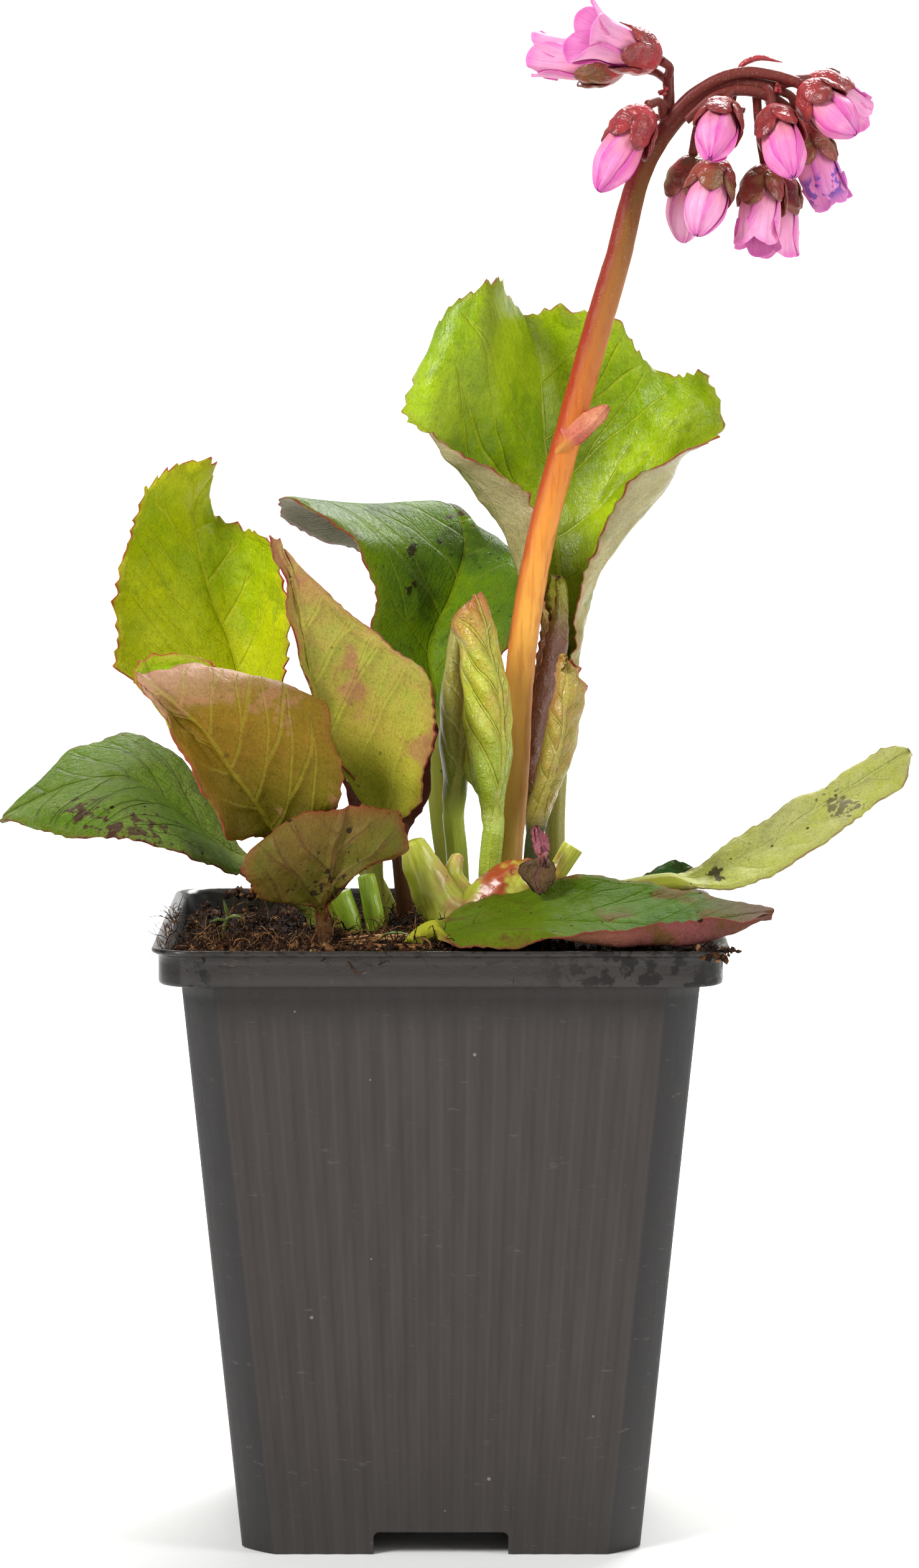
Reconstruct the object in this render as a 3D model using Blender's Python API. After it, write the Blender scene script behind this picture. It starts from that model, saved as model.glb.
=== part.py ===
"""A bergenia in its square nursery pot.

The pot holds compost. A short creeping crown lies on the compost, and leaves and one
flower stem stand round it, each in its own hole. Every piece is one closed solid.

The file is in metres with +Z up. Sizes below are in millimetres and become metres when a
mesh is made. The origin is on the ground under the middle of the whole plant: X runs to
the right and Y away from the front.
"""
import math

import bpy
import numpy as np

MM = 0.001
GAP = 0.35

# Pot: half widths of its square sections, and heights
POT_X = -3.0
POT_HEIGHT = 100.0
FOOT_HALF = 32.4
BODY_TOP_HALF = 41.5
SHOULDER_Z = 94.0
SHOULDER_STEP = 0.4
SHOULDER_WALL = 0.9
BAND_HALF = 45.0
BAND_TOP_Z = 98.8
LIP_Z = 99.5
LIP_HALF = 46.1
WALL = 1.0
BODY_CORNER = 5.5
BAND_CORNER = 6.5
FLOOR = 1.2
CHANNEL_WIDTH = 22.0
CHANNEL_HEIGHT = 3.6
DRAIN_RADIUS = 4.0
DRAIN_REACH = 20.0
CORNER_STEPS = 5

# Compost: a low mound that is highest at the crown
COMPOST_EDGE_Z = 98.0
COMPOST_MOUND = 4.0
COMPOST_MOUND_SPREAD = 24.0
COMPOST_MOUND_CENTRE = (1.0, -8.0)
COMPOST_CELLS = 11
LUMP = 0.3

# Blades, stalks and blooms
BLADE_THICK = 0.8
BLADE_STEPS = 11
SMALL_BLADE_STEPS = 7
TOOTH = 0.8
RIB_HALF = 1.1
RIB_DEPTH = 0.8
PETAL_THICK = 0.6
PETAL_LAP = 0.5
CALYX_THICK = 0.7
CALYX_FOOT = 0.8

# name: colour and roughness of each finish
FINISHES = {
    "pot_plastic": ((0.055, 0.052, 0.050), 0.45),
    "compost": ((0.030, 0.020, 0.014), 0.95),
    "leaf_green": ((0.130, 0.300, 0.030), 0.35),
    "leaf_lime": ((0.330, 0.480, 0.030), 0.35),
    "leaf_bronze": ((0.260, 0.200, 0.060), 0.45),
    "leaf_maroon": ((0.130, 0.050, 0.040), 0.45),
    "stem_flesh": ((0.600, 0.270, 0.080), 0.40),
    "crown_flesh": ((0.560, 0.520, 0.170), 0.45),
    "scale_dry": ((0.120, 0.050, 0.060), 0.70),
    "calyx_red": ((0.210, 0.035, 0.040), 0.35),
    "petal_pink": ((0.850, 0.300, 0.650), 0.50),
    "bark": ((0.420, 0.240, 0.110), 0.90),
}


def clear_scene():
    """Remove whatever the file opened with."""
    for item in list(bpy.data.objects):
        bpy.data.objects.remove(item)


def finish(name):
    """The material of one finish, made the first time it is asked for."""
    found = bpy.data.materials.get(name)
    if found:
        return found
    colour, rough = FINISHES[name]
    made = bpy.data.materials.new(name)
    made.use_nodes = True
    shader = made.node_tree.nodes["Principled BSDF"]
    shader.inputs["Base Color"].default_value = (*colour, 1.0)
    shader.inputs["Roughness"].default_value = rough
    shader.inputs["Metallic"].default_value = 0.0
    made.diffuse_color = (*colour, 1.0)
    return made


def solid(name, points, faces, material=None):
    """A mesh object from points in millimetres and faces that look outwards."""
    mesh = bpy.data.meshes.new(name)
    mesh.from_pydata((np.asarray(points) * MM).tolist(), [], faces)
    mesh.update()
    item = bpy.data.objects.new(name, mesh)
    bpy.context.scene.collection.objects.link(item)
    if material:
        mesh.materials.append(finish(material))
    return item


def combine(body, others, operation, solver="EXACT"):
    """Join the other objects to a body, or cut them from it, and remove them."""
    group = bpy.data.collections.new("operands")
    for other in others:
        group.objects.link(other)
    step = body.modifiers.new("Combine", "BOOLEAN")
    step.operation = operation
    step.solver = solver
    step.operand_type = "COLLECTION"
    step.collection = group
    graph = bpy.context.evaluated_depsgraph_get()
    joined = bpy.data.meshes.new_from_object(body.evaluated_get(graph))
    body.modifiers.clear()
    body.data = joined
    for other in others:
        bpy.data.objects.remove(other)
    bpy.data.collections.remove(group)
    return body


def box(low, high):
    """A plain box between two corners."""
    corners = [(x, y, z) for z in (low[2], high[2]) for y in (low[1], high[1])
               for x in (low[0], high[0])]
    faces = [(0, 2, 3, 1), (4, 5, 7, 6), (0, 1, 5, 4), (2, 6, 7, 3), (0, 4, 6, 2), (1, 3, 7, 5)]
    return solid("box", corners, faces)


def unit(vectors):
    """The same directions with length one."""
    return vectors / np.linalg.norm(vectors, axis=-1, keepdims=True)


def through(knots, rows, steps, flat=0, flat_from=0):
    """Rows of values carried smoothly through their knots, read at the steps.

    Each span is a cubic whose end slopes come from the neighbouring knots. The columns
    from flat_from on have no slope at the first flat knots.
    """
    rows = np.asarray(rows, float)
    slopes = np.gradient(rows, knots, axis=0)
    slopes[:flat, flat_from:] = 0.0
    span = np.clip(np.searchsorted(knots, steps, side="right") - 1, 0, len(knots) - 2)
    length = (knots[span + 1] - knots[span])[:, None]
    t = (steps - knots[span])[:, None] / length
    return ((2 * t**3 - 3 * t**2 + 1) * rows[span] + (t**3 - 2 * t**2 + t) * length * slopes[span]
            + (3 * t**2 - 2 * t**3) * rows[span + 1] + (t**3 - t**2) * length * slopes[span + 1])


def run_lengths(points):
    """The distance of each point from the first, along the line through them."""
    steps = np.linalg.norm(np.diff(points, axis=0), axis=1)
    return np.concatenate([[0.0], np.cumsum(steps)])


def ring_faces(rings, count):
    """Faces round a row of rings of count points each, closed at both ends."""
    faces = []
    for i in range(rings - 1):
        for j in range(count):
            a, b = i * count + j, i * count + (j + 1) % count
            faces.append((a, b, b + count, a + count))
    faces.append(tuple(range(count))[::-1])
    faces.append(tuple((rings - 1) * count + j for j in range(count)))
    return faces


def tube(name, points, radii, sides=8, steps=0, material=None, grow=0.0):
    """A round stalk through points, with a radius at each, closed at both ends.

    Each ring is a circle square to the path. With no steps there is one ring at each point.
    Grow makes it fatter and longer at both ends.
    """
    points = np.asarray(points, float)
    knots = run_lengths(points)
    rows = np.column_stack([points, radii])
    path = through(knots, rows, np.linspace(0.0, knots[-1], steps + 1)) if steps else rows
    along = unit(np.gradient(path[:, :3], axis=0))
    path[0, :3] -= along[0] * grow
    path[-1, :3] += along[-1] * grow
    across = unit(np.cross(along, (0.05, 1.0, 0.02)))
    out = np.cross(along, across)
    angle = 2 * math.pi * np.arange(sides) / sides
    ring = across[:, None] * np.cos(angle)[:, None] + out[:, None] * np.sin(angle)[:, None]
    rings = path[:, None, :3] + ring * (path[:, 3] + grow)[:, None, None]
    return solid(name, rings.reshape(-1, 3), ring_faces(len(path), sides), material)


def square_ring(half, z, corner, roundness):
    """One section of the pot: a square whose corners are cut flat (0) or round (1)."""
    points = []
    inner = half - corner
    for quarter in range(4):
        c, s = round(math.cos(quarter * math.pi / 2)), round(math.sin(quarter * math.pi / 2))
        for k in np.linspace(0.0, 1.0, CORNER_STEPS):
            flat = np.array([half - corner * k, inner + corner * k])
            bend = inner + corner * np.array([math.cos(k * math.pi / 2), math.sin(k * math.pi / 2)])
            x, y = flat + (bend - flat) * roundness
            points.append((POT_X + x * c - y * s, x * s + y * c, z))
    return points


def body_half(z):
    """Half the pot's outer width at a height below its shoulder."""
    return FOOT_HALF + (BODY_TOP_HALF - FOOT_HALF) * z / SHOULDER_Z


def make_pot():
    """The moulded pot: tapered body, wider band and lip, and a floor raised in a cross."""
    body, band = (BODY_CORNER, 0.25), (BAND_CORNER, 1.0)
    outside = [(FOOT_HALF, 0.0, *body), (BODY_TOP_HALF, SHOULDER_Z - 0.1, *body),
               (BAND_HALF - 0.3, SHOULDER_Z, *band), (BAND_HALF, SHOULDER_Z + SHOULDER_STEP, *band),
               (BAND_HALF, BAND_TOP_Z, *band), (LIP_HALF, LIP_Z, *band), (LIP_HALF, POT_HEIGHT, *band)]
    inside = [(LIP_HALF - WALL, POT_HEIGHT, *band), (BAND_HALF - WALL, BAND_TOP_Z + 0.2, *band),
              (BAND_HALF - WALL, SHOULDER_Z + SHOULDER_WALL + 0.3, *band),
              (BODY_TOP_HALF - WALL, SHOULDER_Z + SHOULDER_WALL, *body),
              (body_half(FLOOR) - WALL, FLOOR, *body)]
    rings = [square_ring(*section) for section in outside + inside]
    pot = solid("pot", np.concatenate(rings), ring_faces(len(rings), len(rings[0])), "pot_plastic")

    side, reach, top = CHANNEL_WIDTH / 2 + FLOOR, FOOT_HALF - WALL / 2, CHANNEL_HEIGHT + FLOOR
    cover = [box((POT_X - side, -reach, 0.0), (POT_X + side, reach, top)),
             box((POT_X - reach, -side, 0.0), (POT_X + reach, side, top))]
    combine(pot, cover, "UNION")
    half = CHANNEL_WIDTH / 2
    far = LIP_HALF + 10.0
    channel = [box((POT_X - half, -far, -5.0), (POT_X + half, far, CHANNEL_HEIGHT)),
               box((POT_X - far, -half, -5.0), (POT_X + far, half, CHANNEL_HEIGHT))]
    holes = [tube("hole", [(POT_X + x, y, z) for z in (1.0, 4.0, 7.0)], [DRAIN_RADIUS] * 3, 12, 1)
             for x, y in ((DRAIN_REACH, 0), (-DRAIN_REACH, 0), (0, DRAIN_REACH), (0, -DRAIN_REACH))]
    combine(pot, channel, "DIFFERENCE")
    return combine(pot, holes, "DIFFERENCE")


def compost_height(x, y):
    """Height of the compost: a soft mound with lumps a few millimetres across."""
    cx, cy = COMPOST_MOUND_CENTRE
    mound = COMPOST_MOUND * np.exp(-((x - cx) ** 2 + (y - cy) ** 2) / COMPOST_MOUND_SPREAD**2)
    lumps = np.sin(0.71 * x + 1.9 * np.sin(0.37 * y)) + np.sin(0.83 * y + 1.7 * np.sin(0.43 * x))
    return COMPOST_EDGE_Z + mound + LUMP * lumps


def make_compost(pits):
    """The compost that fills the pot, with a pit for everything that stands in it."""
    top_half = BAND_HALF - WALL - GAP
    levels = [(top_half, SHOULDER_Z + SHOULDER_WALL + 0.7),
              (BODY_TOP_HALF - WALL - GAP, SHOULDER_Z + SHOULDER_WALL + 0.3),
              (body_half(FLOOR) - WALL - GAP, FLOOR + GAP)]
    cells = COMPOST_CELLS
    grid = np.linspace(-1.0, 1.0, cells + 1)
    across, deep = np.meshgrid(grid, grid)
    corner = 1.0 - np.clip(np.abs(across) + np.abs(deep) - 2.0 + BAND_CORNER / top_half, 0.0, 1.0) / 2.0
    x, y = across * corner, deep * corner
    surface = np.stack([POT_X + x * top_half, y * top_half, 0 * x], axis=-1)
    surface[..., 2] = compost_height(surface[..., 0], surface[..., 1])
    loop = ([(0, j) for j in range(cells)] + [(i, cells) for i in range(cells)]
            + [(cells, cells - j) for j in range(cells)] + [(cells - i, 0) for i in range(cells)])
    faces = []
    for i in range(cells):
        for j in range(cells):
            a = i * (cells + 1) + j
            faces += [(a, a + 1, a + cells + 2), (a, a + cells + 2, a + cells + 1)]
    points = [tuple(p) for p in surface.reshape(-1, 3)]
    upper = [i * (cells + 1) + j for i, j in loop]
    for half, z in levels:
        start = len(points)
        points += [(POT_X + x[i, j] * half, y[i, j] * half, z) for i, j in loop]
        lower = [start + k for k in range(len(loop))]
        faces += [(upper[k], lower[k], lower[(k + 1) % len(loop)], upper[(k + 1) % len(loop)])
                  for k in range(len(loop))]
        upper = lower
    faces.append(tuple(upper)[::-1])
    compost = solid("compost", points, faces, "compost")
    side, far, top = CHANNEL_WIDTH / 2 + FLOOR + GAP, LIP_HALF, CHANNEL_HEIGHT + FLOOR + GAP
    cross = [box((POT_X - side, -far, -1.0), (POT_X + side, far, top)),
             box((POT_X - far, -side, -1.0), (POT_X + far, side, top))]
    combine(compost, cross, "DIFFERENCE")
    return combine(compost, pits, "DIFFERENCE", "MANIFOLD")


# Leaves. Each stalk is the line of its middle from inside the compost to the blade. Each
# blade station is its left edge, midrib and right edge, seen from above with the tip away.
# Cup is how far the left and right half sag below a straight line from midrib to edge, as a
# share of that half's width. Bow rounds the two halves of the tip row outwards, the same way.
LEAVES = {
    "leaf_tall_back": dict(
        finish="leaf_lime", radius=1.7,
        stalk=[(15, 8, 88), (16, 9, 100), (16, 10, 116), (17, 12, 132)],
        blade=[((15.5, 10, 144), (17, 14, 142), (20, 10, 144)),
               ((13, 8, 158), (16, 20, 158), (22, 8, 159)),
               ((6, 7, 171), (14, 24, 171), (28, 7, 171)),
               ((-5, 10, 179), (13, 26, 183), (36, 8, 177)),
               ((-9, 14, 185), (12, 27, 200), (44, 14, 183))],
        cup=[(0.2, 0.2), (0.35, 0.4), (0.3, 0.35), (0.15, 0.2), (0.1, 0.1)], bow=(0.85, 0.30),
        columns=(0.0, 0.3, 0.6, 1.0)),
    "leaf_arching": dict(
        finish="leaf_green", radius=1.8,
        stalk=[(-1, 10, 88), (-1, 11, 100), (-3, 12, 114), (-4, 13, 127)],
        blade=[((-8, 12, 138), (-4, 15, 136), (1, 12, 138)),
               ((-14, 12, 145), (-5, 18, 143), (8, 13, 144)),
               ((-14, 14, 152), (-1, 24, 153), (11, 16, 153)),
               ((-18, 18, 162), (1, 31, 161), (10, 24, 158)),
               ((-28, 26, 168), (-2, 38, 167), (7, 33, 161)),
               ((-31, 35, 165), (-14, 44, 158), (4, 43, 155))],
        cup=[(0.1, 0.1)] * 3 + [(-0.05, 0.1)] * 3, bow=(0.1, 0.1)),
    "leaf_lime_left": dict(
        finish="leaf_lime", radius=1.7,
        stalk=[(-11, 8, 88), (-12, 9, 100), (-20, 12, 113), (-29, 13, 123)],
        blade=[((-37, 10, 129), (-34, 14, 129), (-31, 11, 130)),
               ((-48, 6, 133), (-36, 17, 136), (-29, 9, 139)),
               ((-56, 6, 143), (-40, 20, 147), (-28, 9, 149)),
               ((-57, 8, 157), (-44, 23, 158), (-30, 12, 160)),
               ((-53, 12, 168), (-43, 22, 174), (-33, 17, 163.5))],
        cup=[(0.1, 0.1), (0.15, 0.1), (0.15, 0.1), (0.1, 0.05), (0.0, 0.0)], bow=(0.35, -0.3)),
    "leaf_bronze_tall": dict(
        finish="leaf_bronze", radius=1.6,
        stalk=[(-12, -13, 90), (-13, -13, 101), (-14, -12, 109), (-14, -11, 115)],
        blade=[((-10, -15, 119), (-15, -11, 120), (-17, -12, 120)),
               ((-5, -20, 127), (-18, -11, 126), (-20, -14, 127)),
               ((-4, -20, 137), (-22, -13, 137), (-24, -16, 137)),
               ((-10, -18, 150), (-25, -14, 149), (-28, -17, 150)),
               ((-22, -14, 157), (-27, -12, 157), (-30, -16, 157)),
               ((-28, -10, 161), (-31, -8, 163), (-31, -12, 161))],
        cup=[(0.15, 0.1)] * 6, bow=(0.1, 0.1)),
    "leaf_bronze_left": dict(
        finish="leaf_bronze", radius=1.7,
        stalk=[(-18, -9, 90), (-19, -10, 101), (-22, -13, 107), (-26, -16, 113)],
        blade=[((-23, -20, 115), (-29, -19, 117), (-31, -20, 116)),
               ((-19, -24, 122), (-33, -21, 122), (-40, -24, 119)),
               ((-21, -25, 132), (-39, -23, 128), (-45, -27, 127)),
               ((-27, -22, 140), (-45, -22, 134), (-48, -27, 134)),
               ((-44, -15, 143), (-52, -17, 141), (-52, -21, 139))],
        cup=[(0.15, 0.1)] * 5, bow=(0.1, 0.1)),
    "leaf_small_front": dict(
        finish="leaf_bronze", radius=1.3,
        stalk=[(-21, -25, 90), (-21.5, -25.5, 99), (-22, -26, 102)],
        blade=[((-19, -28, 105.5), (-22, -27, 105), (-28, -28, 104)),
               ((-16, -30, 109), (-22, -29, 110), (-34, -30, 108)),
               ((-10, -29, 113), (-20, -30, 116), (-35.5, -32, 114)),
               ((-9, -28, 118), (-19, -29, 121), (-30, -30, 120))],
        cup=[(0.1, 0.1)] * 4, bow=(0.2, 0.2), steps=SMALL_BLADE_STEPS),
    "leaf_low_left": dict(
        finish="leaf_green", radius=1.8,
        stalk=[(-23, -3, 90), (-24, -4, 102), (-29, -6, 106), (-34, -7, 109)],
        blade=[((-37, -14, 109), (-38, -9, 112), (-38, -5, 115)),
               ((-44, -24, 113), (-45, -10, 118), (-43, 0, 123)),
               ((-53, -28, 116), (-54, -10, 124), (-53, 4, 130)),
               ((-63, -24, 116), (-64, -11, 123), (-64, 0, 128)),
               ((-70, -18, 117), (-75, -12, 118), (-69, -6, 123))],
        cup=[(-0.1, 0.0)] * 5, bow=(0.15, 0.15)),
    "leaf_on_rim": dict(
        finish="leaf_green", radius=1.7,
        stalk=[(-8, -31, 90), (-7, -31, 100), (-5, -32, 103)],
        blade=[((-1, -28, 105), (-1, -33, 103), (-2, -39, 102)),
               ((5, -25, 106.5), (5, -33, 103.2), (5, -44, 101.5)),
               ((19, -18, 108), (19, -32, 102.8), (19, -44, 102.5)),
               ((32, -17, 107), (32, -33, 102), (32, -44, 105)),
               ((43, -20, 105), (43, -31, 102.2), (42, -39, 105)),
               ((48, -24, 105), (51, -29, 104), (48, -33, 103.5))],
        cup=[(0.08, 0.0), (0.08, 0.0), (0.08, 0.06), (0.08, 0.1), (0.08, 0.1), (0.0, 0.0)], bow=(0.2, 0.2)),
    "leaf_pale_right": dict(
        finish="leaf_lime", radius=1.7,
        stalk=[(19, 7, 90), (20.5, 8, 102), (28, 9, 104), (35, 10, 105)],
        blade=[((41, 8, 104.5), (40, 11, 105.5), (39, 13, 107)),
               ((48, 4, 104.5), (48, 12, 107), (46, 16, 110)),
               ((61, 6, 111), (60, 14, 115), (57, 18, 119)),
               ((71, 8, 118), (69, 14, 122), (66, 16, 125)),
               ((75, 9, 122), (75.5, 13, 127), (72, 14, 127))],
        cup=[(0.1, 0.1)] * 5, bow=(0.1, 0.1)),
    "leaf_young_front": dict(
        finish="leaf_bronze", radius=1.8,
        stalk=[(5, -9, 90), (5, -9, 101), (5, -9, 112), (6, -9, 123)],
        blade=[((9, -8, 134), (5, -13, 134), (1, -8, 134)),
               ((8.5, -8, 144), (5, -14, 144), (0.5, -8, 144)),
               ((6, -9, 151), (3, -12, 151), (0, -8, 150)),
               ((4.5, -9, 153), (2.5, -10, 154), (0.5, -8, 153))],
        cup=[(0.3, 0.3)] * 4, bow=(0.1, 0.1), steps=SMALL_BLADE_STEPS),
    "leaf_young_left": dict(
        finish="leaf_green", radius=1.8,
        stalk=[(0, -1, 90), (0, -1, 101), (0, -1, 112), (-0.5, -1, 120)],
        blade=[((-3, -3, 129), (-1, 1, 130), (3, -3, 130)),
               ((-3, -3, 138), (-1, 2, 138), (3, -3, 138)),
               ((0, -2, 143), (1.5, 0, 145), (3, -2, 143))],
        cup=[(0.2, 0.2)] * 3, bow=(0.1, 0.1), steps=SMALL_BLADE_STEPS),
    "leaf_young_back": dict(
        finish="leaf_maroon", radius=1.4,
        stalk=[(14, 3, 90), (14, 3, 101), (14.5, 4, 112), (14.5, 4, 118)],
        blade=[((13, 2, 128), (14, 6, 128), (16, 2, 128)),
               ((13, 3, 141), (15, 7, 141), (17, 3, 141)),
               ((14, 3, 151), (15.5, 7, 151), (17, 3, 151)),
               ((15.5, 4, 156), (16, 6, 158), (16.5, 4, 156))],
        cup=[(0.2, 0.2)] * 4, bow=(0.1, 0.1), steps=SMALL_BLADE_STEPS),
    "leaf_young_right": dict(
        finish="leaf_bronze", radius=1.5,
        stalk=[(12, -6, 90), (12, -6, 101), (12, -6, 110), (12.5, -6, 117)],
        blade=[((18, -4, 126), (15, -8, 126), (13.5, -5, 126)),
               ((20, -4, 134), (17, -8, 134), (14, -4, 134)),
               ((20.5, -4, 140), (18, -7, 141), (15, -4, 140)),
               ((20, -4, 142.5), (18.5, -5, 144), (17, -4, 143))],
        cup=[(0.3, 0.3)] * 4, bow=(0.1, 0.1), steps=SMALL_BLADE_STEPS),
    "leaf_maroon_back": dict(
        finish="leaf_maroon", radius=1.4,
        stalk=[(-9, -7, 90), (-9, -7, 101), (-9.5, -7, 108), (-10, -7, 113)],
        blade=[((-18, -7, 119), (-11, -5, 121), (-6, -7, 119)),
               ((-19, -7, 129), (-10, -4, 131), (-4, -6, 130)),
               ((-14, -6, 138), (-8, -4, 140), (-5, -5, 139))],
        cup=[(0.1, 0.1)] * 3, bow=(0.2, 0.2), steps=SMALL_BLADE_STEPS),
    "leaf_small_back": dict(
        finish="leaf_green", radius=1.2,
        stalk=[(20, 15, 90), (22, 16, 101), (27, 18, 103)],
        blade=[((31, 20, 105), (31, 19, 103), (32, 16, 103)),
               ((36, 23, 107), (36, 20, 104), (36, 16, 103)),
               ((38, 22, 107), (40, 20, 106), (39, 17, 104))],
        cup=[(0.1, 0.1)] * 3, bow=(0.2, 0.2), steps=SMALL_BLADE_STEPS),
}


def leaf_grid(spec):
    """The middle surface of a leaf as rows from stalk foot to tip, and how blade-like each row is.

    Three lines run the length of the leaf: left edge, midrib and right edge. On the stalk
    the edges stay one radius from the middle. Each half row is a parabola from the midrib to
    the edge, pulled down by the cup and outwards along the leaf by the bow.
    """
    stalk = np.asarray(spec["stalk"], float)
    blade = np.asarray(spec["blade"], float)
    columns = np.array(spec.get("columns", (0.0, 0.5, 1.0)))
    side = unit(blade[0, 2] - blade[0, 0])
    left = np.concatenate([np.tile(-side * spec["radius"], (len(stalk), 1)), blade[:, 0] - blade[:, 1]])
    right = np.concatenate([np.tile(side * spec["radius"], (len(stalk), 1)), blade[:, 2] - blade[:, 1]])
    middle = np.concatenate([stalk, blade[:, 1]])
    cup = np.concatenate([np.zeros((len(stalk), 2)), np.asarray(spec["cup"], float)])
    bow = np.zeros_like(cup)
    bow[-1] = spec["bow"]
    knots = run_lengths(middle)
    rows = np.column_stack([middle, left, right, cup, bow])
    foot = len(stalk)
    blade_steps = np.linspace(knots[foot - 1], knots[-1], spec.get("steps", BLADE_STEPS) + 1)[1:]
    steps = np.concatenate([knots[:foot], blade_steps])
    values = through(knots, rows, steps, foot, 3)
    grow_in = np.clip((steps - knots[foot - 1]) / (knots[foot] - knots[foot - 1]), 0.0, 1.0)
    bladeness = grow_in**2 * (3 - 2 * grow_in)

    along = unit(np.gradient(values[:, :3], steps, axis=0))
    halves = []
    for k, sign in ((0, -1.0), (1, 1.0)):
        chord = values[:, 3 + 3 * k:6 + 3 * k]
        width = np.linalg.norm(chord, axis=1, keepdims=True)
        upper = unit(np.cross(sign * chord, along))
        control = chord / 2 + width * (along * values[:, 11 + k, None] - upper * values[:, 9 + k, None])
        rib = np.minimum(RIB_HALF / width, 0.45)
        t = (rib + (1 - rib) * columns)[:, :, None]
        half = values[:, None, :3] + 2 * t * (1 - t) * control[:, None] + t**2 * chord[:, None]
        halves.append(half)
    left_half, right_half = halves
    grid = np.concatenate([left_half[:, ::-1], values[:, None, :3], right_half], axis=1)
    return grid, bladeness


def make_leaf(name, spec):
    """One leaf: a stalk that flattens into a toothed blade with a thicker midrib below."""
    grid, bladeness = leaf_grid(spec)
    rows, count = grid.shape[:2]
    teeth = TOOTH * bladeness * np.where(np.arange(rows) % 2, 1.0, -0.2)
    grid[:, 0] += unit(grid[:, 0] - grid[:, 1]) * teeth[:, None]
    grid[:, -1] += unit(grid[:, -1] - grid[:, -2]) * teeth[:, None]
    normal = unit(np.cross(np.gradient(grid, axis=1), np.gradient(grid, axis=0)))
    share = np.linspace(-1.0, 1.0, count)
    round_off = np.sqrt(1.0 - share**2)
    rib = np.clip(1.0 - np.abs(np.arange(count) - count // 2), 0.0, 1.0)
    stalk_part = (1.0 - bladeness)[:, None]
    edge = BLADE_THICK / 2
    rise = edge + spec["radius"] * 0.6 * round_off * stalk_part
    drop = edge + spec["radius"] * 0.9 * round_off * stalk_part + RIB_DEPTH * rib * bladeness[:, None]
    top = grid + normal * rise[..., None]
    under = grid - normal * drop[..., None]
    points = np.concatenate([top.reshape(-1, 3), under.reshape(-1, 3)])
    low = rows * count
    faces = []
    for i in range(rows - 1):
        for j in range(count - 1):
            a = i * count + j
            b, c, d = a + 1, a + count + 1, a + count
            faces += [(a, b, c), (a, c, d), (low + a, low + c, low + b), (low + a, low + d, low + c)]
        for a, b in ((i * count, (i + 1) * count), ((i + 2) * count - 1, (i + 1) * count - 1)):
            faces += [(a, b, low + b), (a, low + b, low + a)]
    for j in range(count - 1):
        for a, b in ((j + 1, j), ((rows - 1) * count + j, (rows - 1) * count + j + 1)):
            faces += [(a, b, low + b), (a, low + b, low + a)]
    return solid(name, points, faces, spec["finish"])


def leaf_pit(spec):
    """The hole that a leaf's stalk stands in, a little deeper than the stalk."""
    foot, *rest = spec["stalk"][:3]
    stalk = [np.subtract(foot, (0, 0, 1)), *rest]
    return tube("pit", stalk, [spec["radius"] + BLADE_THICK] * 3, 6, grow=GAP + 0.3)


# Flower stem: the line of its middle with radii, its side branch, and its blooms
STEM_LINE = [(8, 0, 88), (8, 0, 111), (9, 0, 123), (10, 0, 141), (12.7, 0, 159.5), (18.4, 0, 182),
             (25.6, 0, 207.5), (31.8, 0, 227), (37.5, 0, 233.8), (45.5, 0, 237.6), (51.5, 0, 237)]
STEM_RADII = [2.5, 2.5, 2.45, 2.4, 2.35, 2.3, 2.2, 1.7, 1.5, 1.3, 1.1]
BRANCH_LINE = [(33.5, 0, 229), (34.2, 0, 233), (34.2, 0.5, 239)]
BRACT_LINE = [(17.5, -2.0, 178), (19.5, -3.4, 180), (22.5, -3.6, 182), (24.0, -3.0, 184)]
STRAP_LINE = [(45.5, 0.5, 238.0), (46.0, 1.0, 239.6), (49.0, 1.5, 240.0), (52.0, 1.5, 239.6)]

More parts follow.
